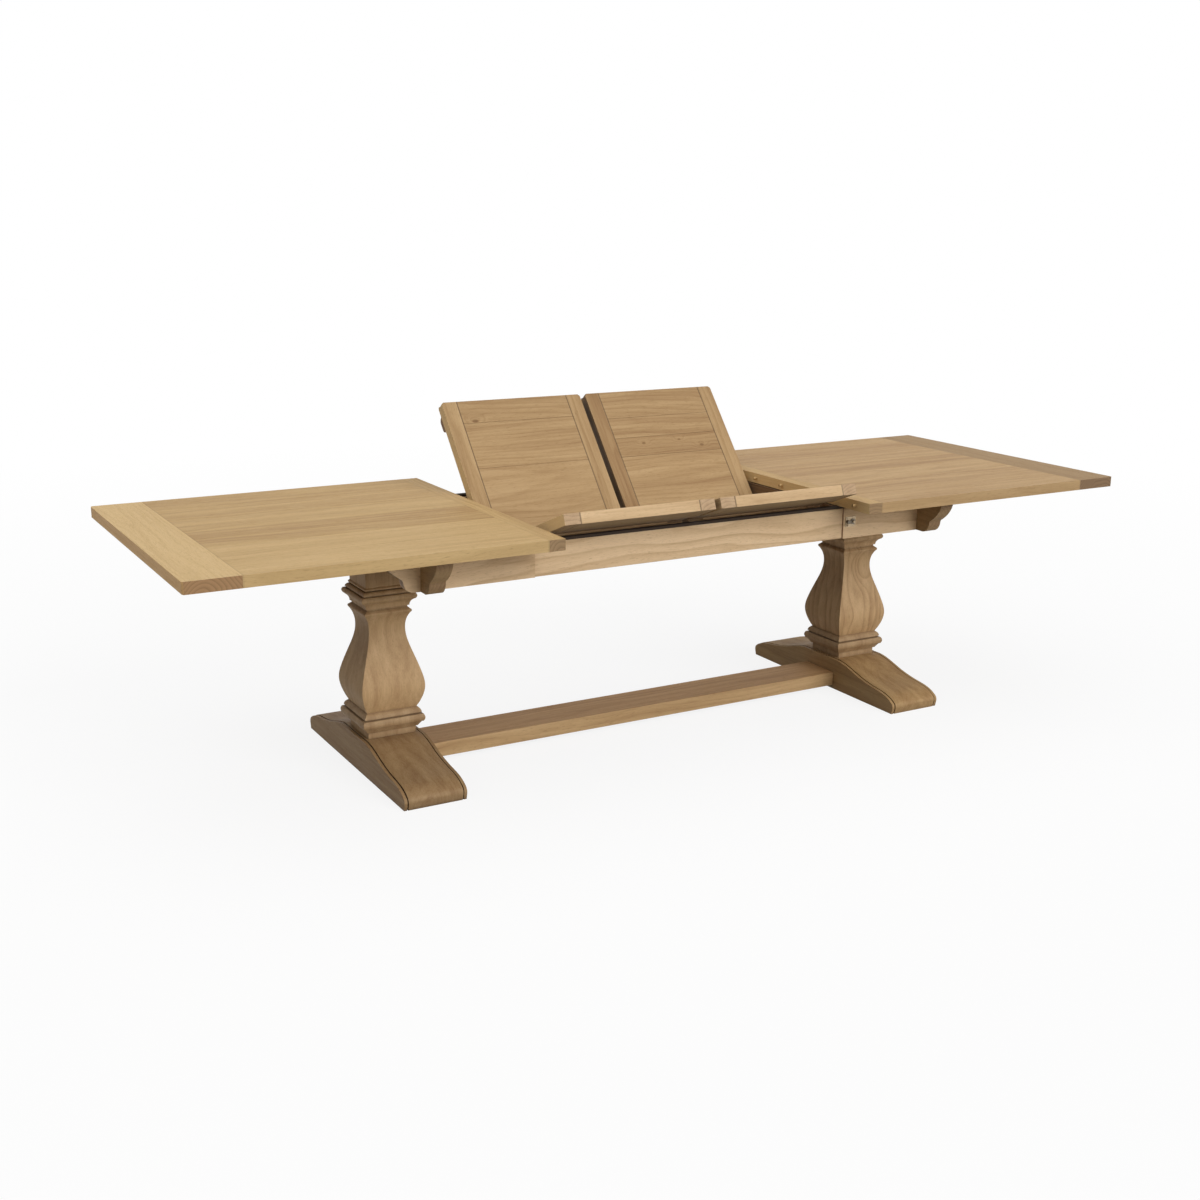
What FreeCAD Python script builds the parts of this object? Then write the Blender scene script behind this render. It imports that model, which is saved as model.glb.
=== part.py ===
import FreeCAD, Part
import math
import os

V = FreeCAD.Vector
X_AXIS = V(1, 0, 0)
Y_AXIS = V(0, 1, 0)
Z_AXIS = V(0, 0, 1)

# Driving sizes of the table, in mm: X runs along the table, -Y is the front, the floor is Z = 0
TABLE_H = 762.0
TOP_LEN = 1050.0
TOP_WID = 1045.0
TOP_T = 33.0
BREAD_W = 150.0
STRIP_W = 50.0
LEAF_LEN = 500.0
LEAF_GAP = 20.0
LEAF_SIDE_GAP = 19.5
FOOT_LEN = 796.0
FOOT_WID = 192.0
FOOT_H = 108.0
FOOT_BEAD_W = 9.0
FOOT_BEAD_DROP = 1.0
FOOT_QUIRK_W = 3.5
FOOT_QUIRK_D = 6.0

# Pose of the leaves as photographed: slope of the rear half in degrees, front half's height over the runner
REAR_UP = 50.0
LEAF_OVER_RUNNER = 9.3

# Clearances between pieces that move past each other
RUN_FIT = 0.05
SLIDE_FIT = 0.3
HINGE_FIT = 0.5

# Frame below the tops
APRON_H = 98.0
APRON_T = 28.0
APRON_IN = 146.5
APRON_STEP = 6.0
JOINT_PAST_TOP = 19.5
PED_PAST_JOINT = 326.0
APRON_PAST_PED = 128.0
OGEE_LEN = 90.0
BEARER_T = 48.0
BEARER_IN = 32.5
CROSS_T = 24.0
CROSS_DROP = 20.0
RUNNER_H = 8.4
RUNNER_W = 18.0
RUNNER_WALL = 2.1
RUNNER_SLOT = 5.0
RUNNER_INSET = 4.0
RUNNER_SHORT = 18.0
SLIDE_LEN = 430.0
SLIDE_INSET = 16.0

# Stretcher between the feet
STRETCH_W = 152.0
STRETCH_Z0 = 12.5
STRETCH_T = 46.5
TENON_LEN = 55.0
TENON_SHOULDER_Y = 22.0
TENON_SHOULDER_Z = 10.0

# Pedestal: where each piece ends, as a share of the height from foot to apron, and half widths
COLLAR_SHARE = 0.158
BALUSTER_SHARE = 0.766
CAP_SHARE = 0.883
PLINTH_R = 75.0
COLLAR_R = 98.0
WAIST_R = 78.0
BULGE_R = 99.0
NECK_R = 57.0
BEAD_R = 73.0
RECESS_R = 63.0
CAP_R = 86.0
BLOCK_R = 66.0
TIE_R = 6.0
TIE_NUT_R = 11.0
TIE_POCKET_R = 16.0
TIE_NUT_H = 10.0
TIE_POCKET_H = 24.0

# Boards of the tops and leaves: plank joints are shares of the width, from the front edge or the fold
TOP_LEFT_JOINTS = (0.165, 0.327, 0.427, 0.519, 0.681, 0.842)
TOP_RIGHT_JOINTS = (0.135, 0.298, 0.462, 0.587, 0.752, 0.889)
LEAF_LEFT_JOINTS = (0.521, 0.840)
LEAF_RIGHT_JOINTS = (0.514, 0.652, 0.802)
JOINT_W = 1.2
JOINT_D = 0.9
TONGUE_LEN = 14.0
TONGUE_T = 11.0
EDGE_ROUND = 1.5
BATTEN_W = 54.0
BATTEN_T = 20.0
BATTEN_SHORT = 2.0
BATTEN_PAST_APRON = 60.0
BATTEN_IN_WELL = 18.0
BATTEN_ROUND_IN = 18.0
BATTEN_ROUND_OUT = 14.0
LEAF_EDGE_ROUND = 8.0
RELIEF_D = 4.0
RELIEF_SIDE = 24.0

# Leaf pivot and fold hinges
PIVOT_SHARE = 0.2871
PIVOT_DROP = 48.6
ROD_R = 7.0
TUBE_R = 9.5
TUBE_SHORT = 14.0
ARM_R = 14.0
ARM_T = 5.0
ARM_IN = 40.0
ARM_PLATE_X = 30.0
ARM_PLATE_Y = 90.0
ARM_PLATE_T = 3.0
BRACKET_T = 8.0
BRACKET_R = 11.0
FOLD_LIFT = 0.4
KNUCKLE_R = 3.0
PIN_R = 1.5
HINGE_LEN = 60.0
HINGE_LEAF = 30.0
HINGE_T = 2.0
HINGE_OFF = 130.0
HALF_GAP = 0.5

# Locating pegs in the right top and the latch on the front apron
PEG_R = 5.0
PEG_OUT = 12.0
PEG_IN = 20.0
PEG_SHARES = (-0.8697, -0.1336, 0.1495)
LATCH_PAST_JOINT = 35.0
LATCH_SHARE = 0.55
LATCH_W = 40.0
LATCH_H = 32.0
LATCH_T = 2.0
LATCH_MARGIN = 12.0
LATCH_R = 9.0
LATCH_STUD_R = 4.0
LATCH_STUD_H = 9.0
LATCH_ARM = 20.0
LATCH_ARM_W = 8.0
LATCH_ARM_T = 3.0
LATCH_GRIP_R = 6.0
LATCH_GRIP_H = 8.0
LATCH_STOP_R = 3.0
LATCH_STOP_H = 5.0
LATCH_STOP_GAP = 2.5

# Levels and lines that follow from the sizes above
TOP_Z0 = TABLE_H - TOP_T
APRON_Z1 = TOP_Z0 - RUNNER_H - 2 * SLIDE_FIT
APRON_Z0 = APRON_Z1 - APRON_H
LAP_Z = (APRON_Z0 + APRON_Z1) / 2
HALF_W = TOP_WID / 2
APRON_FACE = HALF_W - APRON_IN
APRON_BACK = APRON_FACE - APRON_T
MID_FACE = APRON_FACE - APRON_STEP
BEARER_TIP = HALF_W - BEARER_IN
TOP_X0 = LEAF_GAP / 2 + LEAF_LEN + LEAF_SIDE_GAP
TOP_X1 = TOP_X0 + TOP_LEN
APRON_JOINT = TOP_X0 + JOINT_PAST_TOP
PED_X = APRON_JOINT + PED_PAST_JOINT
APRON_TIP = PED_X + APRON_PAST_PED
PED_RISE = APRON_Z0 - FOOT_H
COLLAR_TOP = FOOT_H + COLLAR_SHARE * PED_RISE
BALUSTER_TOP = FOOT_H + BALUSTER_SHARE * PED_RISE
CAP_TOP = FOOT_H + CAP_SHARE * PED_RISE
LEAF_X = (LEAF_LEN + LEAF_GAP) / 2
PIVOT_Y = PIVOT_SHARE * HALF_W
PIVOT_Z = TABLE_H - PIVOT_DROP
RUNNER_Y = APRON_FACE - RUNNER_INSET - RUNNER_W
REAR_BATTEN_Y = APRON_FACE + BATTEN_PAST_APRON
FRONT_BATTEN_Y = BATTEN_IN_WELL - APRON_BACK
PEG_Y = [share * HALF_W for share in PEG_SHARES]
LATCH_X = APRON_JOINT + LATCH_PAST_JOINT
LATCH_Z = APRON_Z0 + LATCH_SHARE * APRON_H
FOLD_Z = TABLE_H + FOLD_LIFT
MID_T = TABLE_H - TOP_T / 2

# Where the fold line rests as photographed, and the slope that lifts the front half over the runner
REAR_TURN = math.radians(REAR_UP)
FOLD_RISE = FOLD_Z - PIVOT_Z
REST_Y = PIVOT_Y - PIVOT_Y * math.cos(REAR_TURN) - FOLD_RISE * math.sin(REAR_TURN)
REST_Z = PIVOT_Z - PIVOT_Y * math.sin(REAR_TURN) + FOLD_RISE * math.cos(REAR_TURN)
OUT_TO_RUNNER = REST_Y + RUNNER_Y
UP_TO_RUNNER = APRON_Z1 + RUNNER_H - REST_Z
SPAN_TO_RUNNER = math.hypot(OUT_TO_RUNNER, UP_TO_RUNNER)
LEAF_CLEAR = TOP_T + FOLD_LIFT + LEAF_OVER_RUNNER
FRONT_TURN = math.atan2(UP_TO_RUNNER, OUT_TO_RUNNER) + math.asin(LEAF_CLEAR / SPAN_TO_RUNNER)
FRONT_UP = math.degrees(FRONT_TURN)

os.makedirs("parts", exist_ok=True)


def save(name, shape):
    shape.exportStep("parts/" + name + ".step")


def box(x0, x1, y0, y1, z0, z1):
    return Part.makeBox(x1 - x0, y1 - y0, z1 - z0, V(x0, y0, z0))


def bar_x(x0, x1, y, z, r):
    return Part.makeCylinder(r, x1 - x0, V(x0, y, z), X_AXIS)


def post(x, y, z0, z1, r):
    return Part.makeCylinder(r, z1 - z0, V(x, y, z0), Z_AXIS)


def spline(points):
    curve = Part.BSplineCurve()
    curve.interpolate(points)
    return curve.toShape()


def outline(runs):
    """A closed wire from runs of points: a run of two is a straight edge, a longer one a smooth curve."""
    edges = []
    for run in runs:
        if len(run) == 2:
            edges.append(Part.makeLine(run[0], run[1]))
        else:
            edges.append(spline(run))
    return Part.Wire(edges)


def place(shape, x, y):
    moved = shape.copy()
    moved.translate(V(x, y, 0))
    return moved


def mirrored(shape, normal):
    return shape.mirror(V(0, 0, 0), normal)


# Pedestals: a moulding is a half profile carried round a square by crossing two prisms
def square_moulding(runs):
    reach = 2 * COLLAR_R
    first = runs[0][0]
    last = runs[-1][-1]
    right = [[V(0, h, z) for h, z in run] for run in runs]
    left = [[V(0, -h, z) for h, z in reversed(run)] for run in reversed(runs)]
    base = [[V(0, -first[0], first[1]), V(0, first[0], first[1])]]
    lid = [[V(0, last[0], last[1]), V(0, -last[0], last[1])]]
    face = Part.Face(outline(base + right + lid + left))
    along = face.extrude(V(2 * reach, 0, 0))
    along.translate(V(-reach, 0, 0))
    across = along.copy()
    across.rotate(V(0, 0, 0), Z_AXIS, 90)
    return along.common(across)


def collar():
    z = FOOT_H
    rise = COLLAR_TOP - FOOT_H
    plinth = z + 0.25 * rise
    lip = z + 0.45 * rise
    crown = z + 0.73 * rise
    groove = COLLAR_R - 12
    cove = [(PLINTH_R + 5, plinth), (PLINTH_R + 8, plinth + 0.06 * rise), (COLLAR_R - 9, lip - 3)]
    torus = [(COLLAR_R - 4, lip), (COLLAR_R, lip + 0.14 * rise), (COLLAR_R - 4, crown)]
    slope = [(groove + 4, crown + 5), (groove + 3, crown + 0.12 * rise), (WAIST_R, COLLAR_TOP)]
    runs = [
        [(PLINTH_R, z), (PLINTH_R, plinth)],
        [(PLINTH_R, plinth), cove[0]],
        cove,
        [cove[-1], (COLLAR_R - 9, lip)],
        [(COLLAR_R - 9, lip), torus[0]],
        torus,
        [torus[-1], (groove, crown + 1)],
        [(groove, crown + 1), (groove, crown + 4)],
        [(groove, crown + 4), slope[0]],
        slope,
    ]
    return square_moulding(runs)


def baluster():
    z = COLLAR_TOP
    rise = BALUSTER_TOP - COLLAR_TOP
    bead = z + 0.91 * rise
    belly = z + 0.22 * rise
    neck = z + 0.75 * rise
    vase = [
        (WAIST_R, z),
        (BULGE_R - 6, z + 0.11 * rise),
        (BULGE_R, belly),
        (BULGE_R - 7, z + 0.35 * rise),
        (NECK_R + 17, z + 0.53 * rise),
        (NECK_R, neck),
        (BEAD_R - 7, bead),
        (BEAD_R - 1, bead + 9),
    ]
    nose = [(BEAD_R - 1, bead + 9), (BEAD_R, bead + 13), (BEAD_R - 4, bead + 18)]
    runs = [
        vase,
        nose,
        [nose[-1], (RECESS_R, BALUSTER_TOP - 5)],
        [(RECESS_R, BALUSTER_TOP - 5), (RECESS_R, BALUSTER_TOP)],
    ]
    return square_moulding(runs)


def capital():
    z = BALUSTER_TOP
    rise = CAP_TOP - BALUSTER_TOP
    edge = z + 0.36 * rise
    crown = z + 0.64 * rise
    collar_z = CAP_TOP - 7
    groove = CAP_R - 11
    cove = [(RECESS_R + 5, z + 4), (RECESS_R + 8, z + 0.2 * rise), (CAP_R - 8, edge - 2)]
    torus = [(CAP_R - 4, edge), (CAP_R, edge + 0.16 * rise), (CAP_R - 4, crown)]
    ogee = [(groove + 3, crown + 4), (groove + 1, crown + 9), (BLOCK_R + 3, collar_z)]
    runs = [
        [(RECESS_R, z), (RECESS_R + 5, z)],
        [(RECESS_R + 5, z), cove[0]],
        cove,
        [cove[-1], torus[0]],
        torus,
        [torus[-1], (groove, crown + 1)],
        [(groove, crown + 1), (groove, crown + 3)],
        [(groove, crown + 3), ogee[0]],
        ogee,
        [ogee[-1], (BLOCK_R, collar_z + 1)],
        [(BLOCK_R, collar_z + 1), (BLOCK_R, collar_z + 3)],
        [(BLOCK_R, collar_z + 3), (BLOCK_R + 4, collar_z + 3)],
        [(BLOCK_R + 4, collar_z + 3), (BLOCK_R + 4, CAP_TOP)],
        [(BLOCK_R + 4, CAP_TOP), (BLOCK_R, CAP_TOP + 4)],
        [(BLOCK_R, CAP_TOP + 4), (BLOCK_R, APRON_Z0)],
    ]
    return square_moulding(runs)


# Feet: slabs of one side profile, set back by different depths to leave a quirk beside each top edge's bead
def foot_profile(drop):
    half = FOOT_LEN / 2 - drop
    top = FOOT_H - drop
    toe = 0.36 * FOOT_H - drop
    flat = PLINTH_R + 20
    slope = [
        (flat, top),
        (flat + 45, top - 0.07 * FOOT_H),
        (flat + 0.36 * (half - flat), top - 0.24 * FOOT_H),
        (flat + 0.66 * (half - flat), top - 0.40 * FOOT_H),
        (half - 36, toe + 0.13 * FOOT_H),
        (half - 8, toe),
    ]
    nose = [(half - 8, toe), (half - 1, toe - 8), (half, toe - 18)]
    right = [[V(0, y, z) for y, z in slope], [V(0, y, z) for y, z in nose]]
    left = [[V(0, -y, z) for y, z in reversed(nose)], [V(0, -y, z) for y, z in reversed(slope)]]
    runs = [[V(0, -flat, top), V(0, flat, top)]]
    runs += right
    runs += [[V(0, half, toe - 18), V(0, half - 5, 0)]]
    runs += [[V(0, half - 5, 0), V(0, -half + 5, 0)]]
    runs += [[V(0, -half + 5, 0), V(0, -half, toe - 18)]]
    runs += left
    return Part.Face(outline(runs))


def foot_slab(drop, x0, x1):
    slab = foot_profile(drop).extrude(V(x1 - x0, 0, 0))
    slab.translate(V(x0, 0, 0))
    return slab


def foot():
    edge_x = FOOT_WID / 2
    bead_x = edge_x - FOOT_BEAD_W
    core_x = bead_x - FOOT_QUIRK_W
    body = foot_slab(FOOT_QUIRK_D, -edge_x, edge_x)
    body = body.fuse(foot_slab(0, -core_x, core_x))
    body = body.fuse(foot_slab(FOOT_BEAD_DROP, -edge_x, -bead_x))
    body = body.fuse(foot_slab(FOOT_BEAD_DROP, bead_x, edge_x))
    pocket = post(0, 0, 0, TIE_POCKET_H, TIE_POCKET_R)
    return body.cut(pocket).removeSplitter()


def tie_rod(side):
    x = side * PED_X
    z1 = APRON_Z1 - TIE_POCKET_H
    rod = post(x, 0, TIE_POCKET_H - 2 * TIE_NUT_H, z1 + TIE_NUT_H, TIE_R)
    low = post(x, 0, TIE_POCKET_H - TIE_NUT_H, TIE_POCKET_H, TIE_NUT_R)
    high = post(x, 0, z1, z1 + TIE_NUT_H, TIE_NUT_R)
    return rod.fuse(low).fuse(high).removeSplitter()


def tie_hole(side):
    x = side * PED_X
    return post(x, 0, 0, APRON_Z1, TIE_R)


# Stretcher with a shouldered tenon at each end
def stretcher():
    x1 = PED_X - FOOT_WID / 2
    y1 = STRETCH_W / 2
    z1 = STRETCH_Z0 + STRETCH_T
    board = box(-x1, x1, -y1, y1, STRETCH_Z0, z1)
    tongue_y = y1 - TENON_SHOULDER_Y
    tongue_z0 = STRETCH_Z0 + TENON_SHOULDER_Z
    tongue_z1 = z1 - TENON_SHOULDER_Z
    tenon = box(-x1 - TENON_LEN, x1 + TENON_LEN, -tongue_y, tongue_y, tongue_z0, tongue_z1)
    return board.fuse(tenon).removeSplitter()


# Ogee end: a tip at the top, a cove below it and a round nose at the bottom
def ogee_board(tip):
    """Side view of a board with ogee ends, as a face in the XZ plane."""
    z0 = APRON_Z0
    z1 = APRON_Z1
    h = APRON_H
    b = OGEE_LEN
    cove = [
        (tip - 3, z1 - 0.10 * h),
        (tip - 0.14 * b, z1 - 0.26 * h),
        (tip - 0.32 * b, z1 - 0.44 * h),
        (tip - 0.56 * b, z1 - 0.60 * h),
    ]
    nose = [
        (tip - 0.59 * b, z1 - 0.66 * h),
        (tip - 0.64 * b, z1 - 0.83 * h),
        (tip - 0.76 * b, z1 - 0.95 * h),
        (tip - b, z0),
    ]
    side = [[(tip, z1), cove[0]], cove, [cove[-1], nose[0]], nose]
    right = [[V(x, 0, z) for x, z in run] for run in side]
    left = [[V(-x, 0, z) for x, z in reversed(run)] for run in reversed(side)]
    runs = [[V(-tip, 0, z1), V(tip, 0, z1)]]
    runs += right
    runs += [[V(tip - b, 0, z0), V(-tip + b, 0, z0)]]
    runs += left
    return Part.Face(outline(runs))


def bearer(side):
    board = ogee_board(BEARER_TIP).extrude(V(0, BEARER_T, 0))
    board.translate(V(0, -BEARER_T / 2, 0))
    board.rotate(V(0, 0, 0), Z_AXIS, 90)
    x = side * PED_X
    board.translate(V(x, 0, 0))
    for s in (-1, 1):
        y0 = min(s * APRON_BACK, s * APRON_FACE)
        notch = box(x - BEARER_T, x + BEARER_T, y0, y0 + APRON_T, LAP_Z, APRON_Z1 + 1)
        board = board.cut(notch)
    pocket = post(x, 0, APRON_Z1 - TIE_POCKET_H, APRON_Z1, TIE_POCKET_R)
    return board.cut(pocket)


def apron_blank():
    board = ogee_board(APRON_TIP).extrude(V(0, APRON_T, 0))
    board.translate(V(0, -APRON_FACE, 0))
    for s in (-1, 1):
        x = s * PED_X
        half = BEARER_T / 2
        notch = box(x - half, x + half, -APRON_FACE - 1, -APRON_BACK + 1, APRON_Z0 - 1, LAP_Z)
        board = board.cut(notch)
    return board


def aprons():
    blank = apron_blank()
    tall = box(-APRON_JOINT, APRON_JOINT, -APRON_FACE, -APRON_BACK, APRON_Z0, APRON_Z1)
    left_side = box(-2 * APRON_TIP, -APRON_JOINT, -APRON_FACE, -APRON_BACK, APRON_Z0, APRON_Z1)
    left = blank.common(left_side)
    right = mirrored(left, X_AXIS)
    middle = tall.common(box(-APRON_JOINT, APRON_JOINT, -MID_FACE, 0, APRON_Z0, APRON_Z1))
    for name, board in (("left", left), ("middle", middle), ("right", right)):
        save("apron_front_" + name, board)
        save("apron_rear_" + name, mirrored(board, Y_AXIS))


# Runner on each apron: a lipped steel channel, and the tee bar of a top running in it
def runner_line():
    return -RUNNER_Y - RUNNER_W / 2


def runner():
    y = runner_line()
    x = APRON_TIP - RUNNER_SHORT
    half = RUNNER_W / 2
    z1 = APRON_Z1 + RUNNER_H
    body = box(-x, x, y - half, y + half, APRON_Z1, z1)
    hollow_y = half - RUNNER_WALL - 1
    hollow = box(-x - 1, x + 1, y - hollow_y, y + hollow_y, APRON_Z1 + RUNNER_WALL, z1 - RUNNER_WALL)
    slot = box(-x - 1, x + 1, y - RUNNER_SLOT / 2, y + RUNNER_SLOT / 2, z1 - RUNNER_WALL - 1, z1 + 1)
    return body.cut(hollow).cut(slot)


def slide_bar(side):
    y = runner_line()
    z0 = APRON_Z1 + RUNNER_WALL + SLIDE_FIT
    z1 = APRON_Z1 + RUNNER_H - RUNNER_WALL - SLIDE_FIT
    flange_y = RUNNER_W / 2 - RUNNER_WALL - 1 - SLIDE_FIT
    stem_y = RUNNER_SLOT / 2 - SLIDE_FIT
    x0 = TOP_X0 + SLIDE_INSET
    x1 = x0 + SLIDE_LEN
    flange = box(x0, x1, y - flange_y, y + flange_y, z0, z1)
    stem = box(x0, x1, y - stem_y, y + stem_y, z1, TOP_Z0)
    bar = flange.fuse(stem).removeSplitter()
    pair = Part.makeCompound([bar, mirrored(bar, Y_AXIS)])
    if side < 0:
        return mirrored(pair, X_AXIS)
    return pair


# Cross rails close the frame at the apron joints and hold the pivot rod
def cross_rail(side):
    x1 = APRON_JOINT
    rail = box(x1 - CROSS_T, x1, -APRON_BACK, APRON_BACK, APRON_Z0 + CROSS_DROP, TOP_Z0 - 3)
    rail = rail.cut(bar_x(x1 - CROSS_T, x1, PIVOT_Y, PIVOT_Z, ROD_R))
    if side < 0:
        return mirrored(rail, X_AXIS)
    return rail


def centre_bracket():
    half = BRACKET_T / 2
    arm = box(-half, half, PIVOT_Y, APRON_BACK, PIVOT_Z - BRACKET_R, PIVOT_Z + BRACKET_R)
    eye = bar_x(-half, half, PIVOT_Y, PIVOT_Z, BRACKET_R)
    foot_plate = box(-3 * half, 3 * half, APRON_BACK - 4, APRON_BACK, APRON_Z0 + 20, PIVOT_Z + BRACKET_R)
    bracket = arm.fuse(eye).fuse(foot_plate).removeSplitter()
    return bracket.cut(bar_x(-half, half, PIVOT_Y, PIVOT_Z, ROD_R))


# Boards: planks run along X, strips and breadboards along Y, joined by a tongue
def planked(x0, x1, y0, y1, joints):
    """A glued-up panel with a fine joint line between its planks, and a tongue at each end."""
    body = box(x0, x1, y0, y1, TOP_Z0, TABLE_H)
    for share in joints:
        y = y0 + share * (y1 - y0)
        body = body.cut(box(x0, x1, y - JOINT_W / 2, y + JOINT_W / 2, TABLE_H - JOINT_D, TABLE_H))
    z0 = MID_T - TONGUE_T / 2
    tongue = box(x0 - TONGUE_LEN, x1 + TONGUE_LEN, y0 + 30, y1 - 30, z0, z0 + TONGUE_T)
    return body.fuse(tongue).removeSplitter()


def end_board(x0, x1, y0, y1, panel):
    body = box(x0, x1, y0, y1, TOP_Z0, TABLE_H)
    return body.cut(panel)


def top(side):
    strip_x = TOP_X0 + STRIP_W
    bread_x = TOP_X1 - BREAD_W
    joints = TOP_RIGHT_JOINTS if side > 0 else TOP_LEFT_JOINTS
    panel = planked(strip_x, bread_x, -HALF_W, HALF_W, joints)
    strip = end_board(TOP_X0, strip_x, -HALF_W, HALF_W, panel)
    bread = end_board(bread_x, TOP_X1, -HALF_W, HALF_W, panel)
    ends = [e for e in bread.Edges if e.BoundBox.XLength < 0.1 and abs(e.BoundBox.XMax - TOP_X1) < 0.1]
    bread = bread.makeFillet(EDGE_ROUND, ends)
    if side > 0:
        for y in PEG_Y:
            strip = strip.cut(bar_x(TOP_X0, TOP_X0 + PEG_IN, y, MID_T, PEG_R))
    name = "top_right" if side > 0 else "top_left"
    for piece, shape in (("panel", panel), ("breadboard", bread), ("inner_strip", strip)):
        if side < 0:
            shape = mirrored(shape, X_AXIS)
        save(name + "_" + piece, shape)
    save(name + "_slides", slide_bar(side))


def pegs():
    x0 = TOP_X0 - PEG_OUT
    x1 = TOP_X0 + PEG_IN
    return Part.makeCompound([bar_x(x0, x1, y, MID_T, PEG_R) for y in PEG_Y])


# Leaves are drawn flat, then turned to the pose of the photograph
def turn_rear(shape):
    moved = shape.copy()
    moved.rotate(V(0, PIVOT_Y, PIVOT_Z), X_AXIS, REAR_UP)
    return moved


def turn_front(shape):
    moved = shape.copy()
    moved.rotate(V(0, 0, FOLD_Z), X_AXIS, -(REAR_UP + FRONT_UP))
    return turn_rear(moved)


def hinge_spots(centre):
    return [centre - HINGE_OFF, centre + HINGE_OFF]


def hinge_recess(centre, s):
    """Space let into one half for its hinge plates and the knuckles of both."""
    shapes = []
    for x in hinge_spots(centre):
        x0 = x - HINGE_LEN / 2
        x1 = x + HINGE_LEN / 2
        y0 = min(0, s * HINGE_LEAF)
        shapes.append(box(x0, x1, y0, y0 + HINGE_LEAF, TABLE_H - HINGE_T, TABLE_H))
        shapes.append(bar_x(x0 - HINGE_FIT, x1 + HINGE_FIT, 0, FOLD_Z, KNUCKLE_R + HINGE_FIT))
    return shapes


def hinge_plates(centre, s):
    """Plates of one half: outer knuckles on the front half, the middle one and the pin on the rear half."""
    third = HINGE_LEN / 3
    shapes = []
    for x in hinge_spots(centre):
        x0 = x - HINGE_LEN / 2
        x1 = x + HINGE_LEN / 2
        near = KNUCKLE_R + HINGE_FIT
        y_in = min(s * near, s * HINGE_LEAF)
        plate = box(x0, x1, y_in, y_in + HINGE_LEAF - near, TABLE_H - HINGE_T, TABLE_H)
        if s < 0:
            spans = [(x0, x0 + third - HINGE_FIT), (x1 - third + HINGE_FIT, x1)]
        else:
            spans = [(x0 + third, x1 - third)]
        for a, b in spans:
            web_y = min(0, s * near)
            plate = plate.fuse(box(a, b, web_y, web_y + near, TABLE_H - HINGE_T, TABLE_H))
            plate = plate.fuse(bar_x(a, b, 0, FOLD_Z, KNUCKLE_R))
        if s < 0:
            for a, b in spans:
                plate = plate.cut(bar_x(a - 1, b + 1, 0, FOLD_Z, PIN_R + RUN_FIT))
        else:
            plate = plate.fuse(bar_x(x0, x1, 0, FOLD_Z, PIN_R))
        shapes.append(plate.removeSplitter())
    return Part.makeCompound(shapes)


def leaf_batten(x0, x1, y, s):
    """A batten with rounded lower edges, the one towards the fold rounder."""
    z = TOP_Z0 - BATTEN_T
    batten = box(x0 + BATTEN_SHORT, x1 - BATTEN_SHORT, y, y + BATTEN_W, z, TOP_Z0)
    fold_y = y if s > 0 else y + BATTEN_W
    far_y = y + BATTEN_W if s > 0 else y
    for edge_y, r in ((fold_y, BATTEN_ROUND_IN), (far_y, BATTEN_ROUND_OUT)):
        spot = V((x0 + x1) / 2, edge_y, z)
        edges = [e for e in batten.Edges if (e.CenterOfMass - spot).Length < 1]
        batten = batten.makeFillet(r, edges)
    return batten


def runner_relief(x0, x1):
    """Shallow rebate below a front half, where it swings over the runner."""
    y0 = -RUNNER_Y - RUNNER_W - RELIEF_SIDE
    return box(x0, x1, y0, -RUNNER_Y + RELIEF_SIDE, TOP_Z0, TOP_Z0 + RELIEF_D)


def round_outer_edge(board):
    """Rounds the lower outer edge of a rear half's board."""
    low = [e for e in board.Edges if e.BoundBox.YMin > HALF_W - 0.1 and e.BoundBox.ZMax < TOP_Z0 + 0.1]
    return board.makeFillet(LEAF_EDGE_ROUND, low)


def leaf_half(name, centre, s, joints, pegged):
    """One half of a leaf: a planked panel, a strip at either end and a batten below."""
    turn = turn_front if s < 0 else turn_rear
    half = "front" if s < 0 else "rear"
    x0 = centre - LEAF_LEN / 2
    x1 = centre + LEAF_LEN / 2
    y0 = min(s * HALF_GAP, s * HALF_W)
    y1 = max(s * HALF_GAP, s * HALF_W)
    shares = [1 - share for share in joints] if s < 0 else joints
    panel = planked(x0 + STRIP_W, x1 - STRIP_W, y0, y1, shares)
    inner = end_board(x0, x0 + STRIP_W, y0, y1, panel)
    outer = end_board(x1 - STRIP_W, x1, y0, y1, panel)
    for recess in hinge_recess(centre, s):
        panel = panel.cut(recess)
    if s < 0:
        relief = runner_relief(x0, x1)
        panel = panel.cut(relief)
        inner = inner.cut(relief)
        outer = outer.cut(relief)
    else:
        panel = round_outer_edge(panel)
        inner = round_outer_edge(inner)
        outer = round_outer_edge(outer)
    if pegged:
        for y in PEG_Y:
            if y0 < y < y1:
                outer = outer.cut(bar_x(x1 - PEG_OUT - 1, x1, y, MID_T, PEG_R + SLIDE_FIT))
    batten = leaf_batten(x0, x1, FRONT_BATTEN_Y if s < 0 else REAR_BATTEN_Y, s)
    save(name + "_" + half + "_panel", turn(panel))
    save(name + "_" + half + "_strip_a", turn(inner))
    save(name + "_" + half + "_strip_b", turn(outer))
    save(name + "_" + half + "_batten", turn(batten))
    save(name + "_" + half + "_hinge_plates", turn(hinge_plates(centre, s)))


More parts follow.
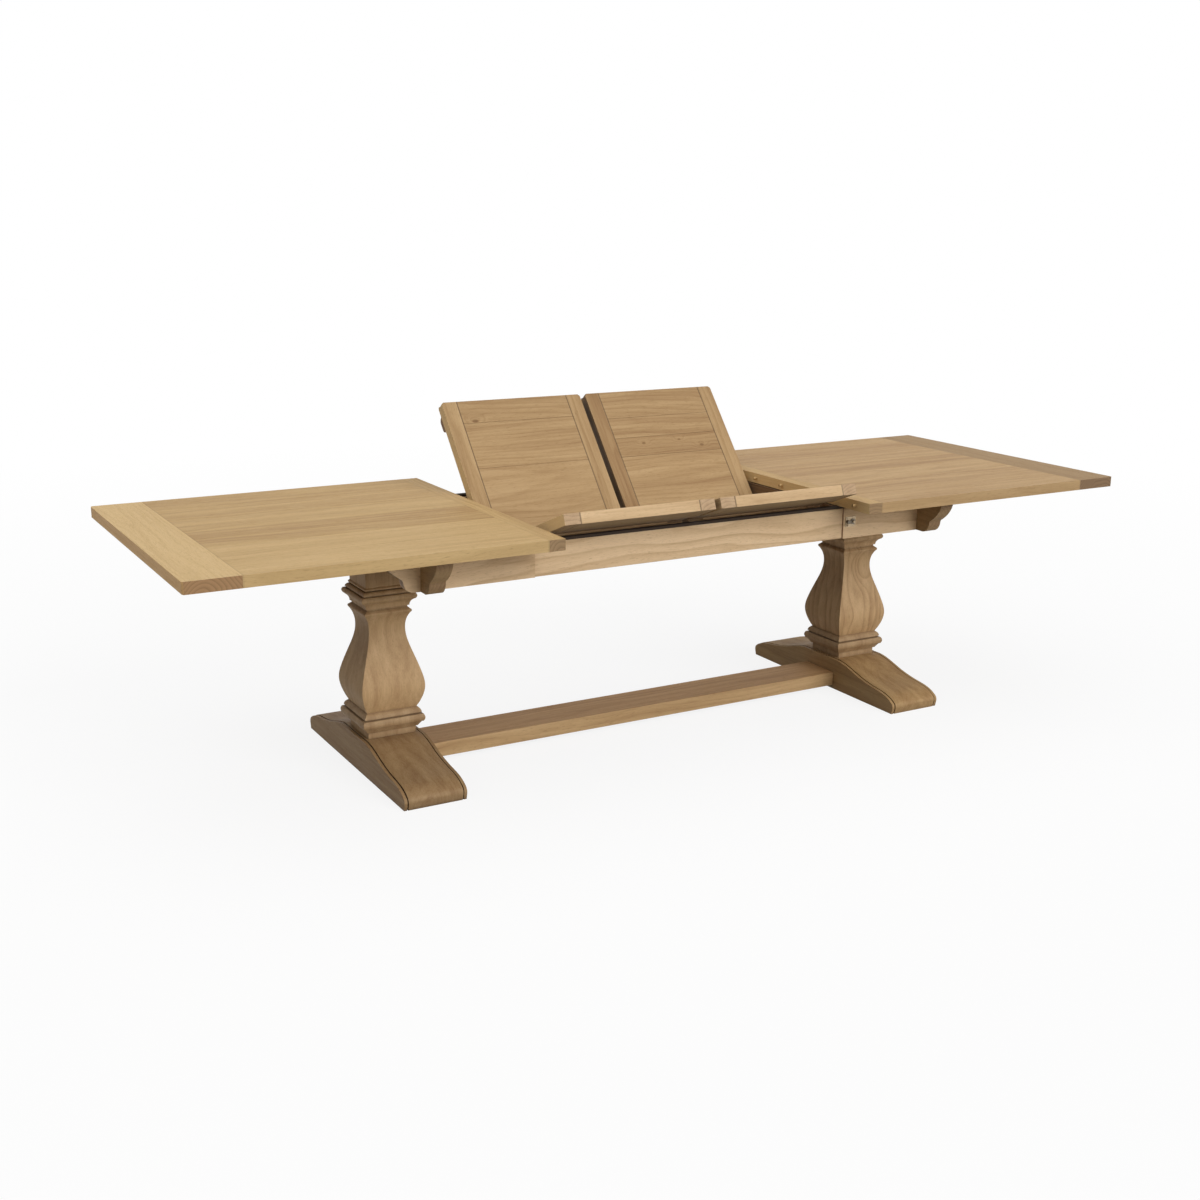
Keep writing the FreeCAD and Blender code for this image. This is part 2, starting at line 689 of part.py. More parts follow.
def pivot_arms(centre):
    shapes = []
    for s in (-1, 1):
        x = centre + s * (LEAF_LEN / 2 - ARM_IN)
        x0 = x - ARM_T / 2
        x1 = x + ARM_T / 2
        eye = bar_x(x0, x1, PIVOT_Y, PIVOT_Z, ARM_R)
        web = box(x0, x1, PIVOT_Y - ARM_R, PIVOT_Y + ARM_R, PIVOT_Z, TOP_Z0)
        px = ARM_PLATE_X / 2
        py = ARM_PLATE_Y / 2
        plate = box(x - px, x + px, PIVOT_Y - py, PIVOT_Y + py, TOP_Z0 - ARM_PLATE_T, TOP_Z0)
        arm = eye.fuse(web).fuse(plate).removeSplitter()
        shapes.append(arm.cut(bar_x(x0 - 20, x1 + 20, PIVOT_Y, PIVOT_Z, TUBE_R + RUN_FIT)))
    return Part.makeCompound(shapes)


def pivot_tube(centre):
    x0 = centre - LEAF_LEN / 2 + TUBE_SHORT
    x1 = centre + LEAF_LEN / 2 - TUBE_SHORT
    tube = bar_x(x0, x1, PIVOT_Y, PIVOT_Z, TUBE_R)
    return tube.cut(bar_x(x0, x1, PIVOT_Y, PIVOT_Z, ROD_R + RUN_FIT))


def leaf(name, centre, joints, pegged):
    leaf_half(name, centre, -1, joints, pegged)
    leaf_half(name, centre, 1, joints, pegged)
    save(name + "_pivot_arms", turn_rear(pivot_arms(centre)))
    save(name + "_pivot_tube", pivot_tube(centre))


# Latch: a plate on the right end board and a cam lever that wedges against the top
def latch_plate():
    x1 = LATCH_X + LATCH_MARGIN
    z0 = LATCH_Z - LATCH_H / 2
    face = -APRON_FACE
    front = face - LATCH_T
    plate = box(x1 - LATCH_W, x1, front, face, z0, z0 + LATCH_H)
    stud = Part.makeCylinder(LATCH_STUD_R, LATCH_STUD_H, V(LATCH_X, front, LATCH_Z), -Y_AXIS)
    stop_z = LATCH_Z - LATCH_GRIP_R - LATCH_STOP_GAP - LATCH_STOP_R
    stop = Part.makeCylinder(LATCH_STOP_R, LATCH_STOP_H, V(LATCH_X - LATCH_ARM, front, stop_z), -Y_AXIS)
    return plate.fuse(stud).fuse(stop).removeSplitter()


def latch_lever():
    y = -APRON_FACE - LATCH_T - SLIDE_FIT
    grip_x = LATCH_X - LATCH_ARM
    boss = Part.makeCylinder(LATCH_R, LATCH_ARM_T, V(LATCH_X, y, LATCH_Z), -Y_AXIS)
    half = LATCH_ARM_W / 2
    arm = box(grip_x, LATCH_X, y - LATCH_ARM_T, y, LATCH_Z - half, LATCH_Z + half)
    grip = Part.makeCylinder(LATCH_GRIP_R, LATCH_GRIP_H, V(grip_x, y, LATCH_Z), -Y_AXIS)
    lever = boss.fuse(arm).fuse(grip).removeSplitter()
    bore = Part.makeCylinder(LATCH_STUD_R + RUN_FIT, LATCH_STUD_H, V(LATCH_X, y, LATCH_Z), -Y_AXIS)
    return lever.cut(bore)


def base():
    rail = stretcher()
    save("stretcher", rail)
    blanks = (("foot", foot()), ("collar", collar()), ("baluster", baluster()), ("capital", capital()))
    for side, name in ((-1, "left"), (1, "right")):
        hole = tie_hole(side)
        for piece, blank in blanks:
            shape = place(blank, side * PED_X, 0).cut(hole)
            if piece == "foot":
                shape = shape.cut(rail)
            save(piece + "_" + name, shape)
        save("bearer_" + name, bearer(side).cut(hole))
        save("tie_rod_" + name, tie_rod(side))
        save("cross_rail_" + name, cross_rail(side))
    aprons()
    save("runner_front", runner())
    save("runner_rear", mirrored(runner(), Y_AXIS))
    save("pivot_rod", bar_x(-APRON_JOINT, APRON_JOINT, PIVOT_Y, PIVOT_Z, ROD_R))
    save("centre_bracket", centre_bracket())
    save("latch_plate", latch_plate())
    save("latch_lever", latch_lever())


base()
top(-1)
top(1)
save("top_right_pegs", pegs())
leaf("leaf_left", -LEAF_X, LEAF_LEFT_JOINTS, False)
leaf("leaf_right", LEAF_X, LEAF_RIGHT_JOINTS, True)
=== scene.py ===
import math

import bmesh
import bpy
from bpy.props import FloatProperty, FloatVectorProperty, PointerProperty
from mathutils import Matrix, Vector


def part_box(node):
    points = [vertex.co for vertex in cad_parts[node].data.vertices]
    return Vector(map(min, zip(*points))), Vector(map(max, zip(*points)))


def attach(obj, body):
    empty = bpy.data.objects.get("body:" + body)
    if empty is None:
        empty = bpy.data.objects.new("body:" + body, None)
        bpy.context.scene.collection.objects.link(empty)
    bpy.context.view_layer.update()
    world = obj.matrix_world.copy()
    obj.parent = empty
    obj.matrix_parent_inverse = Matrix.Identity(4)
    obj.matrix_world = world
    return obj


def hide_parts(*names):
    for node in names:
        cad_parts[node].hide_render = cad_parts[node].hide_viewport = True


bl_info = {
    "name": "Extending Trestle Table",
    "version": (1, 0, 0),
    "blender": (4, 5, 0),
    "location": "View3D > Sidebar > Table",
    "description": "Dresses an oak extending table with two folding leaves and sets it in a plain studio",
    "category": "Object",
}

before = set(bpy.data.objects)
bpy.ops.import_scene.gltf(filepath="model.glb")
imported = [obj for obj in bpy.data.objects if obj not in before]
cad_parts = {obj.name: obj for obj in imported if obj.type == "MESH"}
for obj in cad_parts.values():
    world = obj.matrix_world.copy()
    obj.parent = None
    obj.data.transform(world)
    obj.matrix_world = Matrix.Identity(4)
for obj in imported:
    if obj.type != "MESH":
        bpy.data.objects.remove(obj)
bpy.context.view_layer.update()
cad = dict(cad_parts)

SIDES = ("left", "right")

# Half width of a top, and of one half of a folding leaf
TOP_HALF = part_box("top_left_panel")[1].y
LEAF_HALF = TOP_HALF / 2

# Slope of the raised leaves in degrees
REAR_SLOPE = 50.0
FRONT_SLOPE = -21.3

# Which way a board lies: its rows are the board's length, width and thickness in the table's frame
FLAT_X = Matrix(((1, 0, 0), (0, 1, 0), (0, 0, 1)))
FLAT_Y = Matrix(((0, 1, 0), (-1, 0, 0), (0, 0, 1)))
EDGE_X = Matrix(((1, 0, 0), (0, 0, 1), (0, -1, 0)))
EDGE_Y = Matrix(((0, 1, 0), (0, 0, 1), (1, 0, 0)))
UPRIGHT = Matrix(((0, 0, 1), (1, 0, 0), (0, 1, 0)))


def linear(code):
    """An sRGB hex colour as linear red, green and blue."""
    parts = [int(code[i:i + 2], 16) / 255 for i in (1, 3, 5)]
    return [c / 12.92 if c <= 0.04045 else ((c + 0.055) / 1.055) ** 2.4 for c in parts]


def tinted(colour, finish):
    """A colour with each channel taken times the finish's share."""
    return [c * f for c, f in zip(colour, finish)]


def add(tree, kind, sockets=None, **settings):
    """Adds a node, sets it up, and gives each named socket a value or a link."""
    made = tree.nodes.new(kind)
    for key, value in settings.items():
        setattr(made, key, value)
    for key, value in (sockets or {}).items():
        if isinstance(value, bpy.types.NodeSocket):
            tree.links.new(value, made.inputs[key])
        else:
            made.inputs[key].default_value = value
    return made


def stops(ramp, points, interpolation="LINEAR"):
    """Sets a colour ramp's stops from pairs of place and linear colour."""
    band = ramp.color_ramp
    band.interpolation = interpolation
    while len(band.elements) < len(points):
        band.elements.new(1.0)
    for element, (place, colour) in zip(band.elements, points):
        element.position = place
        element.color = [*colour, 1.0]


def blank(name):
    """An empty material and its shader."""
    material = bpy.data.materials.new(name)
    material.use_nodes = True
    tree = material.node_tree
    tree.nodes.clear()
    shader = add(tree, "ShaderNodeBsdfPrincipled")
    add(tree, "ShaderNodeOutputMaterial", {"Surface": shader.outputs["BSDF"]})
    return material, tree, shader


class OakLook(bpy.types.PropertyGroup):
    """Colours and grain sizes of the oak."""

    pale: FloatVectorProperty(
        name="Pale", description="Late wood of the tops", subtype="COLOR", size=3,
        default=linear("#D8B883"))
    honey: FloatVectorProperty(
        name="Honey", description="Most of the tops' wood", subtype="COLOR", size=3,
        default=linear("#C4A36F"))
    tan: FloatVectorProperty(
        name="Tan", description="Early wood of the tops", subtype="COLOR", size=3,
        default=linear("#AC8959"))
    brown: FloatVectorProperty(
        name="Brown", description="Dark streaks of the tops", subtype="COLOR", size=3,
        default=linear("#8A683F"))
    end: FloatVectorProperty(
        name="End grain", description="Cut ends of the boards", subtype="COLOR", size=3,
        default=linear("#A08260"))
    ring: FloatProperty(
        name="Ring spacing", description="Distance between growth rings on a face", subtype="DISTANCE",
        unit="LENGTH", default=0.011)
    fibre: FloatProperty(
        name="Fibre width", description="Width of the fine streaks", subtype="DISTANCE",
        unit="LENGTH", default=0.0026)
    pore: FloatProperty(
        name="Pore width", description="Width of the open pores", subtype="DISTANCE",
        unit="LENGTH", default=0.0012)
    ease: FloatProperty(
        name="Edge easing", description="Rounding sanded on the edges", subtype="DISTANCE",
        unit="LENGTH", default=0.0016)


class MetalLook(bpy.types.PropertyGroup):
    """Colours of the metal fittings."""

    black: FloatVectorProperty(
        name="Black paint", description="Runners and slide bars", subtype="COLOR", size=3,
        default=linear("#3A2D22"))
    zinc: FloatVectorProperty(
        name="Zinc", description="Pivots, brackets and rods", subtype="COLOR", size=3,
        default=linear("#A9A9A6"))
    pewter: FloatVectorProperty(
        name="Pewter", description="Latch lever", subtype="COLOR", size=3,
        default=linear("#6F675C"))
    yellow: FloatVectorProperty(
        name="Yellow zinc", description="Latch plate", subtype="COLOR", size=3,
        default=linear("#A8967C"))
    brass: FloatVectorProperty(
        name="Brass", description="Fold hinges and their screws", subtype="COLOR", size=3,
        default=linear("#A8946A"))


class StageLook(bpy.types.PropertyGroup):
    """Light, floor and lens of the studio."""

    floor: FloatVectorProperty(
        name="Floor", description="Floor as it throws light back", subtype="COLOR", size=3,
        default=linear("#757472"))
    key: FloatProperty(
        name="Key", description="Strength of the light from the front", default=1.75)
    top: FloatProperty(
        name="Overhead", description="Strength of the light from above", default=1.65)
    fill: FloatProperty(
        name="Fill", description="Strength of the light from all round", default=0.10)
    lens: FloatProperty(
        name="Lens", description="Focal length on a 36 mm sensor, in millimetres", default=45.5)


# Finishes: share by which the oak's colours are darkened and warmed for each group of pieces. The warmth
# tints the edges of the left breadboard, and the lifts lighten edges and ends against the faces
TOP_FINISH = (1.0, 1.0, 1.0)
# Right top: darker than the left, partly its own tone and partly painted shade of light that falls off to the
# right
RIGHT_TOP_FINISH_AND_SHADE = (0.93, 0.91, 0.99)
RIM_WARMTH = (1.10, 0.97, 0.88)
# Right breadboard: painted shade of light that falls off to the right, lifted part of the way back on its
# edges and ends
BREADBOARD_PAINTED_SHADE = (0.61, 0.58, 0.60)
BREADBOARD_SHADE_EDGE_LIFT = (1.20, 1.20, 1.17)
LEAF_FINISH = (0.78, 0.76, 0.82)
# Painted light: lightens the edges and ends of the leaves' front halves well above their darker faces
FRONT_EDGE_PAINTED_LIGHT = (1.513, 1.592, 1.829)
APRON_FINISH = (1.34, 1.40, 1.82)
# Painted shade: the bearers are darkened for the shade they lie in under the tops
BEARER_PAINTED_SHADE = (0.76, 0.72, 0.74)
# Painted shade: the cross rails are darkened nearly black for the deep shade under the tops
RAIL_PAINTED_SHADE = (0.34, 0.30, 0.33)
BASE_FINISH = (1.09, 1.07, 1.24)
COLLAR_FINISH = (0.80, 0.79, 0.94)
STRETCHER_FINISH = (0.86, 0.76, 0.79)
STRETCHER_LIFT = (1.165, 1.27, 1.34)
# Left foot: darker than the right, partly as painted shade of the left pedestal's shaded side
LEFT_FOOT_FINISH_AND_SHADE = (0.70, 0.68, 0.76)
RIGHT_FOOT_FINISH = (0.88, 0.85, 0.88)

# Colours that every oak board shares: painted light on long side edges, painted shade on undersides, the line
# where a panel meets its end boards, and painted shade in hollows
PAINTED_SIDE_LIGHT = "#E6C894"
PAINTED_UNDERSIDE_SHADE = "#3A2A1B"
JOINT_LINE = "#4A3826"
PAINTED_HOLLOW_SHADE = "#3A2A1A"

# Sizes in metres: half the dark line between planks, the tongue at each end of a panel and half the line
# where it goes in, how far grain wanders, and how deep grain can be felt
PLANK_LINE = 0.0011
TONGUE = 0.018
TONGUE_LINE = 0.0005
WANDER = 0.075
GRAIN_RELIEF = 0.0006

# How far at most a plank's grain is moved across and along its board, in metres
PLANK_ACROSS = 0.22
PLANK_ALONG = 9.0

# Heart of the tree: its depth below a face and how far it moves across and down from board to board, in
# metres, and how little the length of the board counts, which draws the rings out into long arches
HEART_DEPTH = 0.055
HEART_ACROSS = 0.03
HEART_DOWN = 0.02
ARCH_SHARE = 0.035

# Waves per metre along, across and through a board of its wander and of its broad streaks, which are about
# 140 mm and 28 mm wide, and along the board of its fibres and its pores
WANDER_WAVES = (1.3, 7.0, 7.0)
STREAK_WAVES = (1.5, 36.0, 36.0)
FIBRE_WAVES = 5.0
PORE_WAVES = 45.0

# How squarely a face has to point one way to begin to count, and to count fully, as an end, edge or underside
SQUARE_FROM = 0.7
SQUARE_TO = 0.95

# How much growth rings and fibres deepen the colour, how much pores do, and the gloss of wax and pores
RING_DEPTH = 0.42
FIBRE_DEPTH = 0.32
PORE_DEPTH = 0.4
WAX_ROUGHNESS = (0.54, 0.68)
PORE_ROUGHNESS = 0.22


# Waxed oak: sawn flat, planed and hand waxed, so it shows long straight streaks, arched growth rings,
# short open pores and a satin gloss that breaks along the grain
def oak_board(node, lay, finish, tone, seed, planks=(), knots=(), figure=0.5, streak=0.8, wave=1.0,
              spread=1.0, end_share=1.0, edge_tint_and_light=(), side_light=0.0, under_shade=0.0, butt=0.0, hollow_shade=0.0, hollow=0.016):
    """Oak for one board. lay is the way it lies and tone its depth of colour. figure and streak are how
    strongly its rings and streaks show, wave how far its grain wanders and spread how far apart its rings
    lie. end_share is how much its cut ends darken, edge_tint_and_light the tint of its edges and ends, a real
    tint on some boards and a painted-light lift on others, side_light how much painted light pales its long
    side edges, under_shade how much painted shade darkens its underside, butt how dark the joints at its ends
    are, hollow_shade how much painted shade darkens its hollows and hollow how wide they are at most."""
    look = bpy.context.scene.table_oak
    pale, honey, tan, brown, end = (
        tinted(colour, finish) for colour in (look.pale, look.honey, look.tan, look.brown, look.end))
    low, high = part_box(node)
    turn = lay.to_euler()
    middle = lay @ ((low + high) / 2)
    corners = [lay @ Vector((x, y, z))
               for x in (low.x, high.x) for y in (low.y, high.y) for z in (low.z, high.z)]
    half_length = max(c.x for c in corners) - middle.x
    material, tree, shader = blank("waxed_oak_" + node)

    place = add(tree, "ShaderNodeTexCoord")
    board = add(tree, "ShaderNodeMapping", {
        "Vector": place.outputs["Object"], "Rotation": turn, "Location": -middle})
    line = add(tree, "ShaderNodeSeparateXYZ", {"Vector": board.outputs["Vector"]})

    # Planks: each has its own tone, its own heart and its own stretch of grain
    grain_at = board.outputs["Vector"]
    plank_tone = None
    joint_shade = None
    if planks:
        half_width, joints, tones, dark = planks
        share = add(tree, "ShaderNodeMapRange", {
            "Value": line.outputs["Y"], "From Min": -half_width, "From Max": half_width})
        plank = add(tree, "ShaderNodeValToRGB", {"Fac": share.outputs["Result"]})
        stops(plank, [(start, (depth, (0.37 * (i + seed)) % 1, (0.61 * (i + 2 * seed)) % 1))
                      for i, (start, depth) in enumerate(zip((0.0, *joints), tones))], "CONSTANT")
        split = add(tree, "ShaderNodeSeparateColor", {"Color": plank.outputs["Color"]})
        plank_tone = split.outputs["Red"]
        shifted = add(tree, "ShaderNodeVectorMath", {
            0: plank.outputs["Color"], 1: (0.0, PLANK_ACROSS, 0.0), 2: board.outputs["Vector"]},
            operation="MULTIPLY_ADD")
        along = add(tree, "ShaderNodeMath", {0: split.outputs["Blue"], 1: PLANK_ALONG}, operation="MULTIPLY")
        run = add(tree, "ShaderNodeCombineXYZ", {"X": along.outputs["Value"]})
        grain = add(tree, "ShaderNodeVectorMath", {
            0: shifted.outputs["Vector"], 1: run.outputs["Vector"]}, operation="ADD")
        grain_at = grain.outputs["Vector"]
        seams = add(tree, "ShaderNodeValToRGB", {"Fac": share.outputs["Result"]})
        width = PLANK_LINE / (2 * half_width)
        marks = [(0.0, (1, 1, 1))]
        for joint in joints:
            marks.append((joint - width, (1 - dark, 1 - 1.06 * dark, 1 - 1.12 * dark)))
            marks.append((joint + width, (1, 1, 1)))
        stops(seams, marks, "CONSTANT")
        joint_shade = seams.outputs["Color"]

    # Wander of the fibres round the heart, slow along the board and quicker across it
    slow = add(tree, "ShaderNodeMapping", {
        "Vector": grain_at, "Location": (seed * 1.37, seed * 0.71, 0.0), "Scale": WANDER_WAVES})
    wander = add(tree, "ShaderNodeTexNoise", {"Vector": slow.outputs["Vector"], "Scale": 1.0, "Detail": 2.0})
    swing = add(tree, "ShaderNodeVectorMath", {
        0: wander.outputs["Color"], 1: (-0.5, -0.5, -0.5)}, operation="ADD")
    bent = add(tree, "ShaderNodeVectorMath", {
        0: swing.outputs["Vector"], 1: (0.0, WANDER * wave, WANDER * wave), 2: grain_at},
        operation="MULTIPLY_ADD")

    # Knots push the rings aside and darken at the heart
    knot_dark = None
    push = None
    for x, y, radius, dark in knots:
        away = add(tree, "ShaderNodeVectorMath", {
            0: board.outputs["Vector"], 1: (-x, -y, 0.0)}, operation="ADD")
        flat = add(tree, "ShaderNodeVectorMath", {
            0: away.outputs["Vector"], 1: (0.55, 1.0, 0.0)}, operation="MULTIPLY")
        reach = add(tree, "ShaderNodeVectorMath", {0: flat.outputs["Vector"]}, operation="LENGTH")
        swell = add(tree, "ShaderNodeMapRange", {
            "Value": reach.outputs["Value"], "From Min": radius * 6, "From Max": 0.0,
            "To Max": radius * 4}, interpolation_type="SMOOTHERSTEP").outputs["Result"]
        core = add(tree, "ShaderNodeMapRange", {
            "Value": reach.outputs["Value"], "From Min": radius * 1.4, "From Max": radius * 0.5,
            "To Max": dark}, interpolation_type="SMOOTHSTEP").outputs["Result"]
        if push is None:
            push = swell
            knot_dark = core
        else:
            push = add(tree, "ShaderNodeMath", {0: push, 1: swell}, operation="ADD").outputs["Value"]
            knot_dark = add(
                tree, "ShaderNodeMath", {0: knot_dark, 1: core}, operation="MAXIMUM").outputs["Value"]

    # Growth rings round a heart below the face: early wood starts sharp and fades into late wood.
    # Real rings are 2 to 4 mm apart, and are drawn wider here so that they show across a room
    heart_at = (0.0, HEART_ACROSS * math.sin(seed * 2.1), HEART_DEPTH + HEART_DOWN * math.sin(seed * 3.3))
    heart = add(tree, "ShaderNodeMapping", {
        "Vector": bent.outputs["Vector"], "Location": heart_at, "Scale": (ARCH_SHARE, 1.0, 1.0)})
    radius_at = add(
        tree, "ShaderNodeVectorMath", {0: heart.outputs["Vector"]}, operation="LENGTH").outputs["Value"]
    if push is not None:
        radius_at = add(tree, "ShaderNodeMath", {0: radius_at, 1: push}, operation="ADD").outputs["Value"]
    turns = add(tree, "ShaderNodeMath", {0: radius_at, 1: look.ring * spread}, operation="DIVIDE")
    phase = add(tree, "ShaderNodeMath", {0: turns.outputs["Value"]}, operation="FRACT")
    ring = add(tree, "ShaderNodeValToRGB", {"Fac": phase.outputs["Value"]})
    stops(ring, [(start, (dark, dark, dark)) for start, dark in (
        (0.0, 0.25), (0.10, 1.0), (0.38, 0.45), (0.75, 0.12), (1.0, 0.2))])

    # Streaks, fibres and pores, all long along the board
    broad_at = add(tree, "ShaderNodeMapping", {
        "Vector": bent.outputs["Vector"], "Location": (seed * 2.9, seed * 1.9, seed),
        "Scale": STREAK_WAVES})
    broad = add(tree, "ShaderNodeTexNoise", {
        "Vector": broad_at.outputs["Vector"], "Scale": 1.0, "Detail": 3.0})
    fine = 1 / look.fibre
    fibre_at = add(tree, "ShaderNodeMapping", {
        "Vector": bent.outputs["Vector"], "Location": (seed, 0.0, 0.0), "Scale": (FIBRE_WAVES, fine, fine)})
    fibre = add(tree, "ShaderNodeTexNoise", {
        "Vector": fibre_at.outputs["Vector"], "Scale": 1.0, "Detail": 3.0})
    tick = 1 / look.pore
    pore_at = add(tree, "ShaderNodeMapping", {
        "Vector": bent.outputs["Vector"], "Scale": (PORE_WAVES, tick, tick)})
    pores = add(tree, "ShaderNodeTexNoise", {
        "Vector": pore_at.outputs["Vector"], "Scale": 1.0, "Detail": 1.0})
    pore = add(tree, "ShaderNodeMapRange", {
        "Value": pores.outputs["Fac"], "From Min": 0.60, "From Max": 0.72})

    # Depth of colour: streaks first, then rings, then fibres, set off from the board's own tone
    streaked = add(tree, "ShaderNodeMath", {
        0: broad.outputs["Fac"], 1: streak, 2: tone - streak / 2}, operation="MULTIPLY_ADD")
    ringed = add(tree, "ShaderNodeMath", {
        0: ring.outputs["Color"], 1: RING_DEPTH * figure, 2: streaked.outputs["Value"]},
        operation="MULTIPLY_ADD")
    depth = add(tree, "ShaderNodeMath", {
        0: fibre.outputs["Fac"], 1: FIBRE_DEPTH, 2: ringed.outputs["Value"]}, operation="MULTIPLY_ADD")
    value = add(tree, "ShaderNodeMath", {
        0: depth.outputs["Value"], 1: -FIBRE_DEPTH / 2 - RING_DEPTH * figure / 3},
        operation="ADD").outputs["Value"]
    if plank_tone is not None:
        shift = add(tree, "ShaderNodeMath", {0: plank_tone, 1: -0.5}, operation="ADD")
        value = add(
            tree, "ShaderNodeMath", {0: value, 1: shift.outputs["Value"]}, operation="ADD").outputs["Value"]
    if knot_dark is not None:
        value = add(tree, "ShaderNodeMath", {0: value, 1: knot_dark}, operation="ADD").outputs["Value"]
    colours = add(tree, "ShaderNodeValToRGB", {"Fac": value})
    stops(colours, [(0.05, pale), (0.40, honey), (0.68, tan), (1.0, brown)])

    # Layers over the wood's own colour, in the order they are laid on: share, colour and way of mixing.
    # Pores are darker, and cut ends are browner and greyer
    pore_share = add(tree, "ShaderNodeMath", {0: pore.outputs["Result"], 1: PORE_DEPTH}, operation="MULTIPLY")
    facing = add(tree, "ShaderNodeMapping", {
        "Vector": place.outputs["Normal"], "Rotation": turn}, vector_type="VECTOR")
    across = add(tree, "ShaderNodeSeparateXYZ", {"Vector": facing.outputs["Vector"]})
    cut = add(tree, "ShaderNodeMath", {0: across.outputs["X"]}, operation="ABSOLUTE")
    cut_share = add(tree, "ShaderNodeMapRange", {
        "Value": cut.outputs["Value"], "From Min": SQUARE_FROM, "From Max": SQUARE_TO,
        "To Max": 0.85 * end_share})
    end_grain = add(tree, "ShaderNodeMix", {
        "Factor": ring.outputs["Color"], 6: [*end, 1.0], 7: [*(0.62 * c for c in end), 1.0]},
        data_type="RGBA", blend_type="MIX")
    layers = [
        (pore_share.outputs["Value"], [*brown, 1.0], "MIX"),
        (cut_share.outputs["Result"], end_grain.outputs[2], "MIX")]

    # Edges and ends are tinted against the faces, a real tint on some boards and a painted-light lift on
    # others;
    # long side edges get painted light, and an underside gets painted shade
    if edge_tint_and_light:
        upright = add(tree, "ShaderNodeMath", {0: across.outputs["Z"]}, operation="ABSOLUTE")
        edge_tint_and_light_share = add(tree, "ShaderNodeMapRange", {
            "Value": upright.outputs["Value"], "From Min": 0.8, "From Max": 0.4})
        layers.append((edge_tint_and_light_share.outputs["Result"], [*edge_tint_and_light, 1.0], "MULTIPLY"))
    if side_light:
        edge = add(tree, "ShaderNodeMath", {0: across.outputs["Y"]}, operation="ABSOLUTE")
        side_light_share = add(tree, "ShaderNodeMapRange", {
            "Value": edge.outputs["Value"], "From Min": SQUARE_FROM, "From Max": SQUARE_TO, "To Max": side_light})
        layers.append((side_light_share.outputs["Result"], [*linear(PAINTED_SIDE_LIGHT), 1.0], "MIX"))
    if under_shade:
        under_shade_share = add(tree, "ShaderNodeMapRange", {
            "Value": across.outputs["Z"], "From Min": -SQUARE_FROM, "From Max": -SQUARE_TO, "To Max": under_shade})
        layers.append((under_shade_share.outputs["Result"], [*linear(PAINTED_UNDERSIDE_SHADE), 1.0], "MIX"))

    # Fine dark lines where boards meet, and painted shade in hollows, darker where less light reaches in
    if joint_shade is not None:
        layers.append((1.0, joint_shade, "MULTIPLY"))
    if butt:
        out = add(tree, "ShaderNodeMath", {0: line.outputs["X"]}, operation="ABSOLUTE")
        seam = add(tree, "ShaderNodeMapRange", {
            "Value": out.outputs["Value"], "From Min": half_length - TONGUE - TONGUE_LINE,
            "From Max": half_length - TONGUE + TONGUE_LINE, "To Max": butt})
        layers.append((seam.outputs["Result"], [*tinted(linear(JOINT_LINE), finish), 1.0], "MIX"))
    if hollow_shade:
        shelter = add(tree, "ShaderNodeAmbientOcclusion", {"Distance": hollow}, samples=6)
        hollow_shade_share = add(tree, "ShaderNodeMapRange", {
            "Value": shelter.outputs["AO"], "From Min": 0.25, "From Max": 0.85,
            "To Min": hollow_shade, "To Max": 0.0})
        layers.append((hollow_shade_share.outputs["Result"], [*linear(PAINTED_HOLLOW_SHADE), 1.0], "MIX"))
    colour = colours.outputs["Color"]
    for share, shade, blend in layers:
        colour = add(tree, "ShaderNodeMix", {"Factor": share, 6: colour, 7: shade},
                     data_type="RGBA", blend_type=blend).outputs[2]
    tree.links.new(colour, shader.inputs["Base Color"])

    # Wax fills the close wood and leaves the pores dull
    smooth, rough = WAX_ROUGHNESS
    gloss = add(tree, "ShaderNodeMapRange", {
        "Value": fibre.outputs["Fac"], "From Min": 0.3, "From Max": 0.7, "To Min": smooth, "To Max": rough})
    dull = add(tree, "ShaderNodeMath", {
        0: pore.outputs["Result"], 1: PORE_ROUGHNESS, 2: gloss.outputs["Result"]}, operation="MULTIPLY_ADD")
    tree.links.new(dull.outputs["Value"], shader.inputs["Roughness"])
    shader.inputs["IOR"].default_value = 1.45
    shader.inputs["Specular IOR Level"].default_value = 0.4
    ridge = add(tree, "ShaderNodeMath", {
        0: ring.outputs["Color"], 1: -0.35, 2: fibre.outputs["Fac"]}, operation="MULTIPLY_ADD")
    pitted = add(tree, "ShaderNodeMath", {
        0: pore.outputs["Result"], 1: -0.8, 2: ridge.outputs["Value"]}, operation="MULTIPLY_ADD")
    bump = add(tree, "ShaderNodeBump", {
        "Height": pitted.outputs["Value"], "Strength": 0.35, "Distance": GRAIN_RELIEF})
    tree.links.new(bump.outputs["Normal"], shader.inputs["Normal"])
    return material


# Distance in metres below which two points of a CAD mesh are one, how far an edge may stand from a board's
# corner and still be that corner, and how far it may lean and still be upright
SEAM = 0.00002
CORNER_REACH = 0.003
CORNER_LEAN = 0.001

# Radius in metres of the corners in plan, and where a breadboard's corner is cut as shares of that radius
BREAD_CORNER = 0.008
LEAF_CORNER = 0.007
CORNER_CUTS = (0.0, 0.35, 0.62, 0.80)

# Smallest turn between two faces, in degrees, whose edge is eased
EASE_TURN = 38

# Easing in metres of edges that are sharper than the rest of the table's
TOP_PANEL_EASE = 0.0004
LEAF_PANEL_EASE = 0.0005
PEG_EASE = 0.001
RUNNER_EASE = 0.0003
LATCH_EASE = 0.0006
PIVOT_EASE = 0.0004
HINGE_EASE = 0.0002


